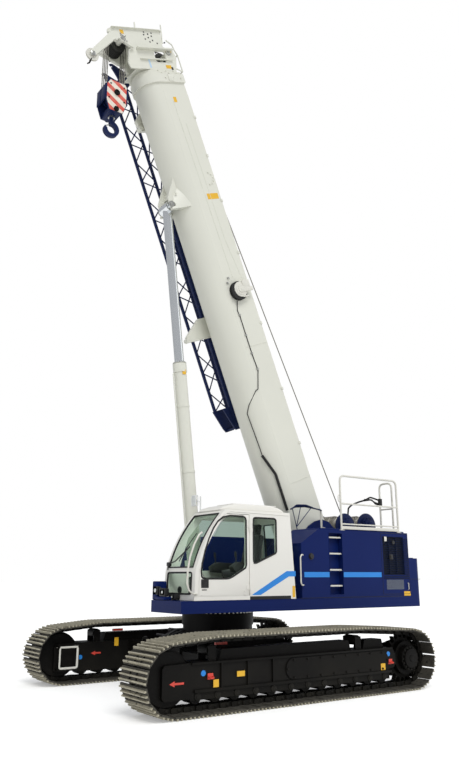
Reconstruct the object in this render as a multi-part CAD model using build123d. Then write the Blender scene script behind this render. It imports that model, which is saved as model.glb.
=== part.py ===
"""Telescopic-boom crawler crane: two crawlers on telescoping axles, slewing upper, cab, boom, fly jib.

Millimetres. +X is forward, +Y is the crane's left, +Z is up. The origin is the slewing axis on the ground.
"""

import os
from math import acos, atan2, ceil, cos, degrees, hypot, pi, radians, sin, sqrt

from build123d import *

seat_gap = 0.3  # running gap between a seated piece and its seat

# ---------------------------------------------------------------- crawlers
track_centre_y = 2070.0  # from the slewing axis to the middle of a crawler, axles extended
shoe_width = 800.0
shoe_pitch = 216.0  # nominal; the real pitch shares the loop out evenly
shoe_plate = 22.0
bar_height = 22.0
bar_share = 0.5  # where the tip of a bar stands between one foot and the next
bars_per_shoe = 3
link_turn = 12.0  # degrees that the flat links turn at most from one to the next
link_depth = 105.0
rail_inner = 75.0  # half the gap between the two link rails
rail_outer = 125.0
wheel_outer = 508.0  # idler and sprocket radius, to the outside of the shoe plates
idler_x = 2380.0
sprocket_x = -2730.0
carrier_xs = (1600.0, -1500.0)
carrier_radius = 85.0
carrier_z = 896.0
roller_radius = 110.0
motor_radius = 240.0
roller_count = 12
roller_first_x = 1880.0
roller_last_x = -2080.0
roller_width = 260.0
roller_hub = 60.0

# ---------------------------------------------------------------- side frames and axles
frame_half_width = 190.0
frame_bottom_z = 395.0
frame_top_z = 740.0
frame_front_x = 2490.0
frame_rear_x = -2330.0
frame_plate = 25.0
skirt_bottom_z = 215.0
fork_inner = 150.0
fork_bottom_z = 235.0
top_boxes = ((-1350.0, 1450.0, 900.0), (-2170.0, -1640.0, 890.0))  # rear, front and top of each
top_box_half_y = 120.0
top_box_slope = 50.0
cover_xs = (-2030.0, 20.0)  # raised cover on the outer face, between its round ends
cover_z = 530.0
cover_radius = 165.0
cover_raise = 18.0
arm_width = 260.0
arm_bottom_z = 405.0
arm_height = 330.0
arm_clearance = 5.0
arm_end_y = 250.0  # inner end of an axle arm, axles extended
retract_travel = 900.0
beam_wall = 30.0
beam_start_x = 620.0
carbody_half_y = 680.0
carbody_top_z = 1010.0

tie_down_y = 610.0
tie_down_z = 835.0
tie_down_bore = 32.0
tie_down_plate = 50.0
step_front_x = 2460.0
step_length = 420.0
step_bottom_z = 270.0
step_height = 440.0
step_reach = 150.0

# ---------------------------------------------------------------- slew ring and turntable
ring_radius = 680.0
ring_bore = 500.0
ring_bottom_z = 1110.0
ring_top_z = 1385.0
race_gap = seat_gap
deck_bottom_z = 1390.0
deck_top_z = 1590.0
deck_half_y = 1450.0
deck_rear_x = -3830.0
left_deck_front_x = 1700.0
right_deck_front_x = 120.0
side_plate_gap = 15.0
side_plate_thickness = 30.0

# ---------------------------------------------------------------- boom
boom_elevation = 68.3  # degrees
pivot_x = -2350.0
pivot_z = 2870.0
boom_drop = 300.0  # from the foot pin down to the boom's centre line
boom_tail = -350.0
boom_width = 800.0
boom_depth = 1000.0
section_step = 80.0  # each inner section is this much narrower and shallower
section_wall = 14.0
base_end = 10150.0
collar_length = 190.0
collar_lip = 30.0
collar_step = 70.0
foot_pin_radius = 90.0
foot_boss_radius = 260.0

# ---------------------------------------------------------------- luffing cylinder
eye_s = 7500.0  # boom end of the cylinder, along the boom and below the foot pin
eye_drop = 980.0
cylinder_foot_x = 460.0
cylinder_foot_z = 1750.0
lug_inner_y = 210.0
barrel_radius = 125.0
barrel_length = 4400.0
rod_radius = 96.0
rod_length = 4340.0
gland_gap = 0.9
eye_pin_radius = 60.0
rod_eye_radius = 115.0
clevis_half_gap = 180.0
clevis_plate = 40.0
wedge_sections = ((-110.0, -1040.0, 270.0), (770.0, -560.0, 120.0))  # from the eye, low edge, half its width

# ---------------------------------------------------------------- boom head and hook
sheave_s = base_end + 1000
sheave_drop = 1000.0
sheave_radius = 185.0
sheave_width = 50.0
sheave_ys = (-120.0, -40.0, 40.0, 120.0)
rope_radius = 12.0
side_sheave = (base_end + 550, -1880.0)  # along and up from the foot pin
guard_n = 345.0
idler_place = (base_end + 750, 90.0)  # upper rope idler, along and up from the foot pin
idler_radius = 170.0
block_drop = 1250.0
block_half_x = 228.0
block_half_y = 180.0
hook_drop = 2010.0
hook_outer = 170.0
hook_throat = 95.0
hook_width = 85.0
shank_radius = 48.0
head_half_y = boom_width / 2 - 100
head_plate = 30.0

# ---------------------------------------------------------------- cable reel on the boom's left side
reel_s = 5400.0
reel_n = -170.0
reel_radius = 205.0

# ---------------------------------------------------------------- fly jib
jib_inner_y = -boom_width / 2 - 120
jib_outer_y = jib_inner_y - 380
jib_chords = ((jib_inner_y, -430.0), (jib_outer_y, -385.0), (jib_outer_y, -740.0))  # across and up
jib_chord = 38.0
jib_foot_s = 2600.0
jib_fork_s = base_end + 610
jib_beam_end_s = 7120.0
jib_seat_top = -250.0
jib_seats = (  # outlines below their upper edge, along and up from the foot pin
    ((4680.0, -1200.0), (4800.0, -1210.0), (5130.0, -790.0), (5150.0, jib_seat_top)),
    ((9460.0, -700.0), (9690.0, -760.0), (9880.0, -590.0), (9800.0, jib_seat_top)),
)

# ---------------------------------------------------------------- cab
cab_floor_z = 1595.0
cab_roof_z = 3130.0
cab_wall = 60.0
cab_rear_x = -750.0
cab_front_x = 1450.0
door_rear_x = 300.0
door_gap = 6.0
glass_thickness = 8.0
hinge_zs = (1800.0, 2860.0)
hinge_half = 40.0
hinge_barrel = 13.0

# ---------------------------------------------------------------- hoods
hood_top_z = 2860.0
hood_front_x = -900.0
right_hood_top_z = 2750.0
engine_margin = 330.0
engine_length = 1200.0
engine_side_gap = 150.0
louvre_xs = (-3690.0, -3070.0)
louvre_zs = (2010.0, 2775.0)
right_louvre_xs = (-3800.0, -2600.0)
right_louvre_zs = (1750.0, 2600.0)
ladder_xs = (-1950.0, -1600.0)
rung_zs = (1905.0, 2200.0, 2485.0, 2775.0)
counterweight_length = 330.0
counterweight_top_z = 2350.0
rail_tube = 20.0
left_rail_xs = (-1945.0, -3520.0)
rail_mid_z = 3380.0
rail_top_z = 3940.0
rear_rail_x = -3600.0
rear_rail_inset = 300.0  # from the hood's inner side
rear_rail_width = 310.0

# ---------------------------------------------------------------- winches: x, z and drum radius
winches = {"main_winch_drum": (-3720.0, 3060.0, 220.0), "aux_winch_drum": (-3070.0, 3030.0, 220.0)}
winch_side_gap = 12.0
rope_split_radius = 1400.0  # about the foot pin, where the rope passes from the upper to the boom
rope_split_s = base_end + collar_length + 10

# ---------------------------------------------------------------- derived
side_plate_inner = boom_width / 2 + side_plate_gap
deck_inner_y = side_plate_inner + side_plate_thickness
hood_inner_y = deck_inner_y + 115
cab_inner_y = deck_inner_y + 5
cab_outer_y = deck_half_y
hinge_x = door_rear_x + door_gap / 2
hinge_y = cab_outer_y + hinge_barrel + 1
wheel_z = bar_height + wheel_outer
rail_radius = wheel_outer - shoe_plate - link_depth
carrier_belt = carrier_radius + link_depth + shoe_plate
roller_z = bar_height + shoe_plate + link_depth + roller_radius + seat_gap


def block(x0, x1, y0, y1, z0, z1):
    """A box between two corners."""
    return Pos((x0 + x1) / 2, (y0 + y1) / 2, (z0 + z1) / 2) * Box(abs(x1 - x0), abs(y1 - y0), abs(z1 - z0))


def slab(points, y0, y1):
    """An outline of (x, z) points, made solid from y0 to y1."""
    face = make_face(Plane.XZ * Polyline(*points, close=True))
    return Pos(0, min(y0, y1), 0) * extrude(face, abs(y1 - y0), dir=(0, 1, 0))


def disc_y(x, z, radius, y0, y1):
    """A round bar or disc whose axis runs along Y."""
    return Pos(x, (y0 + y1) / 2, z) * Rot(90, 0, 0) * Cylinder(radius, abs(y1 - y0))


def disc_z(x, y, radius, z0, z1):
    """An upright round bar or disc."""
    return Pos(x, y, (z0 + z1) / 2) * Cylinder(radius, abs(z1 - z0))


def disc_x(x0, x1, y, z, radius):
    """A round bar or disc whose axis runs along X."""
    return Pos((x0 + x1) / 2, y, z) * Rot(0, 90, 0) * Cylinder(radius, abs(x1 - x0))


def bar(start, end, radius):
    """A round bar between two points."""
    a = Vector(*start)
    b = Vector(*end)
    plane = Plane(origin=(a + b) * 0.5, z_dir=b - a)
    return plane * Cylinder(radius, (b - a).length)


def square_bar(start, end, width):
    """A square bar between two points."""
    a = Vector(*start)
    b = Vector(*end)
    plane = Plane(origin=(a + b) * 0.5, z_dir=b - a)
    return plane * Box(width, width, (b - a).length)


def joined(shapes):
    """One solid from a list of shapes that meet."""
    first, *rest = shapes
    return first.fuse(*rest) if rest else first


def save(name, shape):
    export_step(shape, f"parts/{name}.step")


def boom_place(shape):
    """Moves a shape from boom axes (X along the boom, Z up from it, foot pin at the origin) to its rest place."""
    return Pos(pivot_x, 0, pivot_z) * Rot(0, -boom_elevation, 0) * shape


def boom_point(s, y, n):
    """A point given in boom axes, at rest."""
    a = radians(boom_elevation)
    return (pivot_x + s * cos(a) - n * sin(a), y, pivot_z + s * sin(a) + n * cos(a))


# ---------------------------------------------------------------- the track loop


class Loop:
    """A belt round circles, given as (x, z, radius) in anticlockwise order, and walked by its length."""

    def __init__(self, circles):
        self.pieces = []
        normals = []
        count = len(circles)
        for i in range(count):
            x1, z1, r1 = circles[i]
            x2, z2, r2 = circles[(i + 1) % count]
            span = hypot(x2 - x1, z2 - z1)
            dx, dz = (x2 - x1) / span, (z2 - z1) / span
            k = (r1 - r2) / span
            h = sqrt(1 - k * k)
            normals.append((dx * k + dz * h, dz * k - dx * h))
        for i in range(count):
            x, z, r = circles[i]
            nx0, nz0 = normals[i - 1]
            nx1, nz1 = normals[i]
            start = atan2(nz0, nx0)
            sweep = (atan2(nz1, nx1) - start) % (2 * pi)
            self.pieces.append(("arc", x, z, r, start, sweep, r * sweep))
            x2, z2, r2 = circles[(i + 1) % count]
            ax, az = x + r * nx1, z + r * nz1
            bx, bz = x2 + r2 * nx1, z2 + r2 * nz1
            self.pieces.append(("line", ax, az, bx, bz, (nx1, nz1), hypot(bx - ax, bz - az)))
        self.length = sum(p[-1] for p in self.pieces)

    def at(self, distance, height=0.0):
        """The point at a distance round the loop, standing off it by a height."""
        distance %= self.length
        for piece in self.pieces:
            if distance <= piece[-1]:
                break
            distance -= piece[-1]
        if piece[0] == "arc":
            _, x, z, r, start, _, _ = piece
            a = start + distance / r
            return (x + (r + height) * cos(a), z + (r + height) * sin(a))
        _, ax, az, bx, bz, (nx, nz), span = piece
        t = distance / span
        return (ax + t * (bx - ax) + height * nx, az + t * (bz - az) + height * nz)

    def face(self):
        """The area inside the loop in the XZ plane, its arcs laid out as flat links that touch the circles."""
        corners = []
        for piece in self.pieces:
            if piece[0] == "arc":
                _, x, z, r, start, sweep, _ = piece
                count = ceil(degrees(sweep) / link_turn)
                reach = r / cos(sweep / count / 2)
                for i in range(count):
                    a = start + (i + 0.5) * sweep / count
                    corners.append((x + reach * cos(a), z + reach * sin(a)))
        return make_face(Plane.XZ * Polyline(*corners, close=True))


def belt(inset):
    """The loop at a depth below the outside of the shoe plates."""
    circles = [(idler_x, wheel_z, wheel_outer - inset)]
    circles += [(x, carrier_z, carrier_belt - inset) for x in carrier_xs]
    circles += [(sprocket_x, wheel_z, wheel_outer - inset)]
    return Loop(circles)


def track(side):
    """One loop of triple-bar shoes on two link rails."""
    outer = belt(0)
    shoes = round(outer.length / shoe_pitch)
    bar_pitch = outer.length / (shoes * bars_per_shoe)
    outline = []
    for i in range(shoes * bars_per_shoe):
        for share, height in ((0.0, 0.0), (bar_share, bar_height)):
            outline.append(outer.at((i + share) * bar_pitch, height))
    shoe_face = make_face(Plane.XZ * Polyline(*outline, close=True)) - belt(shoe_plate).face()
    rail_face = belt(shoe_plate).face() - belt(shoe_plate + link_depth).face()
    y = side * track_centre_y
    ring = Pos(0, y - shoe_width / 2, 0) * extrude(shoe_face, shoe_width, dir=(0, 1, 0))
    rails = []
    for start in (rail_inner, -rail_outer):
        rails.append(Pos(0, y + start, 0) * extrude(rail_face, rail_outer - rail_inner, dir=(0, 1, 0)))
    return joined([ring] + rails)


def idler(side):
    y = side * track_centre_y
    tread = disc_y(idler_x, wheel_z, rail_radius - seat_gap, y - rail_outer - 5, y + rail_outer + 5)
    flange = disc_y(idler_x, wheel_z, rail_radius + 40, y - rail_inner + 10, y + rail_inner - 10)
    hub = disc_y(idler_x, wheel_z, 110, y - fork_inner + seat_gap, y + fork_inner - seat_gap)
    return joined([tread, flange, hub])


def sprocket(side):
    """Toothed wheel between the link rails, with the round final-drive hub on its outer side."""
    y = side * track_centre_y
    teeth = 21
    root = rail_radius - 30
    tip = rail_radius + 50
    outline = []
    for i in range(teeth):
        for part, radius in ((0.0, root), (0.28, root), (0.42, tip), (0.58, tip), (0.72, root)):
            a = 2 * pi * (i + part) / teeth
            outline.append((sprocket_x + radius * cos(a), wheel_z + radius * sin(a)))
    wheel = slab(outline, y - 45, y + 45)
    drum = disc_y(sprocket_x, wheel_z, 290, y - 130, y + 130)
    hub = disc_y(sprocket_x, wheel_z, 215, y, y + side * 235)
    cap = disc_y(sprocket_x, wheel_z, 165, y, y + side * 265)
    motor = disc_y(sprocket_x, wheel_z, motor_radius, y, y - side * 250)
    return joined([wheel, drum, hub, cap, motor])


def rollers(side):
    """Bottom rollers and carrier rollers with their shafts."""
    y = side * track_centre_y
    shapes = []
    step = (roller_last_x - roller_first_x) / (roller_count - 1)
    half = roller_width / 2
    reach = frame_half_width - frame_plate - seat_gap
    for i in range(roller_count):
        x = roller_first_x + i * step
        shaft = Pos(x, y, roller_z) * Rot(90, 0, 0) * extrude(RegularPolygon(roller_hub, 12), reach, both=True)
        shapes.append(shaft + disc_y(x, roller_z, roller_radius, y - half, y + half))
    for x in carrier_xs:
        shapes.append(disc_y(x, carrier_z - seat_gap, carrier_radius, y - half, y + half))
    return Compound(children=shapes)


def side_frame(side, arm_xs):
    """Box frame of one crawler, its roller skirts, idler fork, motor bracket and two axle arms."""
    y = side * track_centre_y
    outer = frame_half_width
    box_front = idler_x - rail_radius - 60
    box_rear = sprocket_x + rail_radius + 70
    box = block(box_rear, box_front, y - outer, y + outer, frame_bottom_z, frame_top_z)
    shapes = [box]
    for a in (-1, 1):
        inner = y + a * fork_inner
        step = roller_first_x + 120
        shapes.append(slab([
            (box_front - 10, frame_bottom_z), (step, frame_bottom_z), (step, fork_bottom_z),
            (frame_front_x - 40, fork_bottom_z), (frame_front_x, fork_bottom_z + 40),
            (frame_front_x, frame_top_z - 60), (frame_front_x - 40, frame_top_z - 15), (box_front - 10, frame_top_z),
        ], inner, y + a * outer))
        skirt = [(roller_first_x + 130, frame_bottom_z + 5), (roller_first_x + 130, skirt_bottom_z)]
        skirt += [(roller_last_x - 130, skirt_bottom_z), (roller_last_x - 130, frame_bottom_z + 5)]
        shapes.append(slab(skirt, y + a * (outer - frame_plate), y + a * outer))
    face_y = y + side * outer
    x0, x1 = cover_xs
    shapes.append(block(x0, x1, face_y - side, face_y + side * cover_raise, cover_z - cover_radius, cover_z + cover_radius))
    for x in cover_xs:
        shapes.append(disc_y(x, cover_z, cover_radius, face_y - side, face_y + side * cover_raise))
    seat = slab([
        (box_rear + 10, frame_bottom_z), (box_rear + 10, frame_top_z), (sprocket_x, wheel_z + motor_radius + 70),
        (sprocket_x - 150, wheel_z + 240), (sprocket_x - 300, wheel_z + 90), (sprocket_x - 300, wheel_z - 90),
        (sprocket_x - 150, wheel_z - 240), (sprocket_x, wheel_z - motor_radius - 60),
    ], y - side * (outer - 40), y - side * outer)
    bore = disc_y(sprocket_x, wheel_z, motor_radius + seat_gap, y - side * 140, y - side * 260)
    shapes.append(seat - bore)
    shapes.append(slab([
        (box_rear + 10, frame_bottom_z), (box_rear + 10, frame_top_z), (frame_rear_x, frame_top_z - 20),
        (frame_rear_x - 60, frame_top_z - 120), (frame_rear_x - 60, frame_bottom_z + 60), (frame_rear_x, frame_bottom_z),
    ], y + side * (outer - 40), y + side * outer))
    for x in carrier_xs:
        shapes.append(block(x - 70, x + 70, y - 155, y - 131, frame_top_z - 10, carrier_z + 60))
        shapes.append(block(x - 70, x + 70, y + 131, y + 155, frame_top_z - 10, carrier_z + 60))
    for x0, x1, top in top_boxes:
        shapes.append(slab([
            (x0, frame_top_z - 10), (x1, frame_top_z - 10), (x1 - top_box_slope, top), (x0 + top_box_slope, top),
        ], y - top_box_half_y, y + top_box_half_y))
    shapes.append(step_frame(y - side * (outer - 1), -side))
    for x in arm_xs:
        top = arm_bottom_z + arm_height
        shapes.append(block(x - arm_width / 2, x + arm_width / 2, side * arm_end_y, y - side * (outer - 20),
                            arm_bottom_z, top))
    return joined(shapes)


def step_frame(y, out):
    """Bent-bar access step on the inboard face of a side frame, near the idler."""
    x0, x1 = step_front_x - step_length, step_front_x
    z0, z1 = step_bottom_z, step_bottom_z + step_height
    reach = out * step_reach
    shape = block(x0, x1, y + reach - out * 30, y + reach, z0, z0 + 30)
    shape += block(x0, x1, y + reach - out * 30, y + reach, z1 - 30, z1)
    for x in (x0, x1 - 30):
        shape += block(x, x + 30, y + reach - out * 30, y + reach, z0, z1)
        shape += block(x, x + 30, y, y + reach, z0, z0 + 30)
        shape += block(x, x + 30, y, y + reach, z1 - 30, z1)
    return shape


# ---------------------------------------------------------------- carbody

cell_width = arm_width + 2 * arm_clearance
cell_xs = [beam_start_x + beam_wall + cell_width / 2, beam_start_x + 2 * beam_wall + cell_width * 1.5]
left_arm_xs = (cell_xs[1], -cell_xs[0])
right_arm_xs = (cell_xs[0], -cell_xs[1])


def carbody():
    """Centre box with a neck for the slew ring, between two twin-cell axle tubes."""
    z0 = arm_bottom_z - arm_clearance
    z1 = z0 + arm_height + 2 * arm_clearance
    beam_end_x = beam_start_x + 3 * beam_wall + 2 * cell_width
    y = carbody_half_y
    body = block(-beam_start_x - 10, beam_start_x + 10, -y, y, z0 + 20, carbody_top_z)
    body += disc_z(0, 0, ring_radius - 20, carbody_top_z - 10, ring_bottom_z)
    for a in (-1, 1):
        body += block(a * beam_start_x, a * beam_end_x, -y, y, z0 - beam_wall, z1 + beam_wall)
        body += slab([
            (a * beam_start_x, z1), (a * beam_end_x, z1 + beam_wall), (a * beam_start_x, carbody_top_z),
        ], -y * 0.8, y * 0.8)
    for a in (-1, 1):
        for b in (-1, 1):
            xs = sorted((a * (beam_end_x - tie_down_plate), a * beam_end_x))
            lug = disc_x(*xs, b * tie_down_y, tie_down_z, 70)
            lug += block(*xs, b * tie_down_y - 70, b * tie_down_y + 70, z1 + beam_wall - 10, tie_down_z)
            body += lug - disc_x(xs[0] - 10, xs[1] + 10, b * tie_down_y, tie_down_z, tie_down_bore)
    for a in (-1, 1):
        for x in cell_xs:
            body -= block(a * x - cell_width / 2, a * x + cell_width / 2, -y - 10, y + 10, z0, z1)
            for b in (-1, 1):
                body += block(a * x - 100, a * x + 100, b * (y - 90), b * y, z1 - arm_clearance + seat_gap, z1)
    return body


def slew_ring():
    ring = disc_z(0, 0, ring_radius, ring_bottom_z, ring_top_z - 60)
    ring += disc_z(0, 0, ring_radius - 40, ring_top_z - 70, ring_top_z)
    return ring - disc_z(0, 0, ring_bore, ring_bottom_z - 5, ring_top_z + 5)


# ---------------------------------------------------------------- turntable and bodywork


def turntable():
    """Slewing frame: bearing race, bottom plate, two boom support plates and the two side decks."""
    race = disc_z(0, 0, ring_bore - race_gap, ring_bottom_z + 20, deck_bottom_z + 10)
    floor = block(deck_rear_x, 950, -deck_inner_y - 10, deck_inner_y + 10, deck_bottom_z, deck_bottom_z + 60)
    shapes = [race, floor]
    outline = [
        (950, deck_bottom_z), (950, 1840), (250, 1870), (-1150, 2080), (-1980, 3000), (pivot_x + 190, 3100),
        (pivot_x, 3150), (pivot_x - 190, 3100), (-2720, 2950), (-2820, 2940), (-2940, 3130), (-3200, 3130),
        (-3380, 2880), (-3560, 2900), (-3620, 3160), (deck_rear_x + 10, 3160), (deck_rear_x - 150, 2900),
        (deck_rear_x - 170, counterweight_top_z + 60),
        (deck_rear_x, counterweight_top_z + 60), (deck_rear_x, deck_bottom_z),
    ]
    for a in (-1, 1):
        shapes.append(slab(outline, a * side_plate_inner, a * (side_plate_inner + side_plate_thickness)))
    shapes.append(block(deck_rear_x, left_deck_front_x, deck_inner_y, deck_half_y, deck_bottom_z, deck_top_z))
    shapes.append(block(deck_rear_x, right_deck_front_x, -deck_half_y, -deck_inner_y, deck_bottom_z, deck_top_z))
    for a in (-1, 1):
        shapes.append(slab([
            (cylinder_foot_x - 260, deck_bottom_z + 50), (cylinder_foot_x + 260, deck_bottom_z + 50),
            (cylinder_foot_x + 130, cylinder_foot_z + 130), (cylinder_foot_x - 130, cylinder_foot_z + 130),
        ], a * lug_inner_y, a * (lug_inner_y + 50)))
        shapes.append(disc_y(cylinder_foot_x, cylinder_foot_z, 95, a * (lug_inner_y + 45), a * (lug_inner_y + 85)))
    for x in (cab_rear_x + 150, cab_front_x - 250):
        for y in (cab_inner_y + 150, cab_outer_y - 150):
            shapes.append(disc_z(x, y, 60, deck_top_z - 5, cab_floor_z - seat_gap))
    frame = joined(shapes)
    for a in (-1, 1):
        frame -= disc_y(pivot_x, pivot_z, foot_pin_radius + seat_gap, a * (side_plate_inner - 15), a * (side_plate_inner + 85))
    return frame


def foot_pin():
    """Pin through the turntable plates and the boom's foot, with its end caps."""
    reach = side_plate_inner + side_plate_thickness
    pin = disc_y(pivot_x, pivot_z, foot_pin_radius, -reach - 35, reach + 35)
    for a in (-1, 1):
        pin += disc_y(pivot_x, pivot_z, foot_pin_radius + 30, a * (reach + seat_gap), a * (reach + 25))
    return pin


def left_hood():
    outline = [
        (hood_front_x, deck_top_z), (hood_front_x, 2590), (-1340, hood_top_z), (deck_rear_x, hood_top_z),
        (deck_rear_x, deck_top_z),
    ]
    hood = slab(outline, hood_inner_y, deck_half_y)
    hood -= block(*ladder_xs, deck_half_y - 120, deck_half_y + 10, deck_top_z + 60, hood_top_z - 60)
    hood -= block(*louvre_xs, deck_half_y - 60, deck_half_y + 10, *louvre_zs)
    return hood


def right_hood():
    outline = [
        (right_deck_front_x, deck_top_z), (right_deck_front_x, 2500), (-100, right_hood_top_z),
        (deck_rear_x, right_hood_top_z), (deck_rear_x, deck_top_z),
    ]
    hood = slab(outline, -deck_half_y, -hood_inner_y)
    hood -= block(deck_rear_x + 90, -2200, -deck_half_y + 90, -hood_inner_y - 40, deck_top_z - 5,
                  right_hood_top_z - 60)
    hood -= block(*right_louvre_xs, -deck_half_y - 10, -deck_half_y + 60, *right_louvre_zs)
    return hood


def grilles():
    """Louvred panels in the hood sides."""
    shapes = []
    for y, side, xs, zs in (
        (deck_half_y, 1, louvre_xs, louvre_zs),
        (-deck_half_y, -1, right_louvre_xs, right_louvre_zs),
    ):
        x0, x1 = xs[0] + seat_gap, xs[1] - seat_gap
        z0, z1 = zs[0] + 1, zs[1] - 1
        panel = block(x0, x1, y - side * 59, y - side * 40, z0, z1)
        count = int((z1 - z0) / 60)
        for i in range(count):
            z = z0 + (i + 0.5) * (z1 - z0) / count
            panel += slab([(x0, z - 18), (x1, z - 18), (x1, z + 6), (x0, z + 6)], y - side * 45, y - side * 12)
        shapes.append(panel)
    return Compound(children=shapes)


def counterweight():
    x0 = deck_rear_x - counterweight_length - seat_gap
    shape = block(x0, deck_rear_x - seat_gap, -deck_half_y, deck_half_y, deck_bottom_z, counterweight_top_z)
    edges = shape.edges().filter_by(Axis.Z).group_by(Axis.X)[0]
    return fillet(edges, 120)


def handrails():
    """Two tubular guards on the left hood."""
    shapes = []
    y = deck_half_y - 30
    base = hood_top_z + seat_gap
    r = 90
    x_front, x_rear = left_rail_xs
    shapes.append(guard([(x_front, y), (x_rear, y)], base, rail_top_z, (rail_mid_z,), r))
    y0 = hood_inner_y + rear_rail_inset
    ends = [(rear_rail_x, y0 + rear_rail_width), (rear_rail_x, y0)]
    shapes.append(guard(ends, base, rail_top_z - 10, (rail_mid_z,), r))
    return Compound(children=shapes)


def guard(ends, base, top, mids, bend):
    """A hooped handrail: one bent tube with cross tubes."""
    (xa, ya), (xb, yb) = ends
    path = FilletPolyline((xa, ya, base), (xa, ya, top), (xb, yb, top), (xb, yb, base), radius=bend)
    start = Plane(origin=(xa, ya, base), z_dir=(0, 0, 1))
    rail = sweep(start * RegularPolygon(rail_tube, 8), path=path)
    for z in mids:
        rail += bar((xa, ya, z), (xb, yb, z), rail_tube * 0.8)
    for x, y in ends:
        rail += block(x - 45, x + 45, y - 28, y + 28, base, base + 10)
    return rail


def ladder():
    """Rungs in the recess of the left hood and the grab handle beside it."""
    shapes = []
    x0, x1 = ladder_xs
    for z in rung_zs:
        shapes.append(block(x0 + seat_gap, x1 - seat_gap, deck_half_y - 118, deck_half_y - 20, z - 15, z + 15))
    return Compound(children=shapes)


def engine_block():
    x0, y0 = deck_rear_x + engine_margin, -deck_half_y + engine_side_gap
    return block(x0, x0 + engine_length, y0, -hood_inner_y - 140, deck_top_z + seat_gap, right_hood_top_z - 300)


# ---------------------------------------------------------------- cab


def cab_profile():
    """Side outline of the cab, with its curved windscreen."""
    lines = [
        Line((cab_rear_x, cab_floor_z), (-640, cab_roof_z)),
        Line((-640, cab_roof_z), (820, cab_roof_z)),
        ThreePointArc((820, cab_roof_z), (1180, 2660), (cab_front_x - 20, 2060)),
        Line((cab_front_x - 20, 2060), (cab_front_x, cab_floor_z)),
        Line((cab_front_x, cab_floor_z), (cab_rear_x, cab_floor_z)),
    ]
    return make_face([Plane.XZ * edge for edge in lines])


def cab_prism(inset, y0, y1):
    face = cab_profile()
    if inset:
        face = offset(face, amount=-inset)
    return Pos(0, y0, 0) * extrude(face, y1 - y0, dir=(0, 1, 0))


door_window = [(1290, 2040), (1270, 2200), (1070, 2610), (900, 2890), (740, 3020), (390, 3020), (370, 2960),
               (370, 2110), (730, 1955), (1210, 1955)]
rear_window = [(215, 3010), (-310, 3010), (-310, 2400), (215, 2190)]
right_window = [(1200, 2050), (1000, 2660), (700, 3000), (-500, 3000), (-500, 2150)]
rear_glass_inset = 95.0
rear_glass_y0, rear_glass_y1 = 600.0, 1300.0
rear_glass_z0, rear_glass_z1 = 2300.0, 2950.0


def cab_shell():
    outer = cab_prism(0, cab_inner_y, cab_outer_y)
    shell = outer - cab_prism(cab_wall, cab_inner_y + cab_wall, cab_outer_y - cab_wall)
    shell -= block(door_rear_x, cab_front_x - 90, cab_outer_y - cab_wall - 5, cab_outer_y + 5,
                   cab_floor_z + 50, cab_roof_z - 60) & cab_prism(70, cab_inner_y, cab_outer_y + 10)
    shell -= slab(rear_window, cab_outer_y - cab_wall - 5, cab_outer_y + 5)
    y0, y1 = cab_inner_y + 90, cab_outer_y - 110
    shell -= block(850, cab_front_x + 50, y0, y1, 2140, 3060)
    shell -= block(1300, cab_front_x + 50, y0, y1, 1700, 2060)
    shell -= slab(right_window, cab_inner_y - 5, cab_inner_y + cab_wall + 5)
    shell -= block(cab_rear_x - 50, cab_rear_x + 250, rear_glass_y0, rear_glass_y1, rear_glass_z0, rear_glass_z1)
    for z in hinge_zs:
        shell += hinge_knuckle(-1, z + hinge_half + seat_gap, z + hinge_half + 60)
        shell += hinge_knuckle(-1, z - hinge_half - 60, z - hinge_half - seat_gap)
    return shell


def cab_door():
    area = cab_prism(70 + door_gap, cab_outer_y - cab_wall, cab_outer_y)
    door = area & block(door_rear_x + door_gap, cab_front_x - 90 - door_gap, cab_outer_y - cab_wall, cab_outer_y,
                        cab_floor_z + 50 + door_gap, cab_roof_z - 60 - door_gap)
    door -= slab(door_window, cab_outer_y - cab_wall - 5, cab_outer_y + 5)
    for z in hinge_zs:
        door += hinge_knuckle(1, z - hinge_half, z + hinge_half)
    return door


def hinge_knuckle(side, z0, z1):
    """A barrel on the door's hinge line with the leaf that holds it, ahead of the line or behind it."""
    leaf = block(hinge_x, hinge_x + side * 70, cab_outer_y - 1, cab_outer_y + 8, z0, z1)
    return leaf + disc_z(hinge_x, hinge_y, hinge_barrel, z0, z1)


def cab_glass():
    """Windscreen, lower front, rear side, right and rear panes."""
    y0, y1 = cab_inner_y + 90 + seat_gap, cab_outer_y - 110 - seat_gap
    skin = cab_prism(20, y0, y1) - cab_prism(20 + glass_thickness, y0 - 5, y1 + 5)
    shapes = [
        skin & block(850 + seat_gap, cab_front_x + 50, y0, y1, 2140 + seat_gap, 3060 - seat_gap),
        skin & block(1300, cab_front_x + 50, y0, y1, 1700 + seat_gap, 2060 - seat_gap),
    ]
    pane = cab_prism(0, cab_outer_y - cab_wall / 2, cab_outer_y - cab_wall / 2 + glass_thickness)
    shapes.append(pane & pane_of(rear_window, cab_outer_y))
    pane = cab_prism(0, cab_inner_y + cab_wall / 2, cab_inner_y + cab_wall / 2 + glass_thickness)
    shapes.append(pane & pane_of(right_window, cab_inner_y))
    x = cab_rear_x + rear_glass_inset
    shapes.append(block(x, x + glass_thickness, rear_glass_y0 + seat_gap, rear_glass_y1 - seat_gap,
                        rear_glass_z0 + seat_gap, rear_glass_z1 - seat_gap))
    return Compound(children=[solid for shape in shapes for solid in shape.solids()])


def pane_of(points, y):
    """The inside of a window outline, a hair smaller, as a thick block to cut a pane from."""
    face = offset(make_face(Plane.XZ * Polyline(*points, close=True)), amount=-seat_gap)
    return Pos(0, y - 2 * cab_wall, 0) * extrude(face, 4 * cab_wall, dir=(0, 1, 0))


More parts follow.
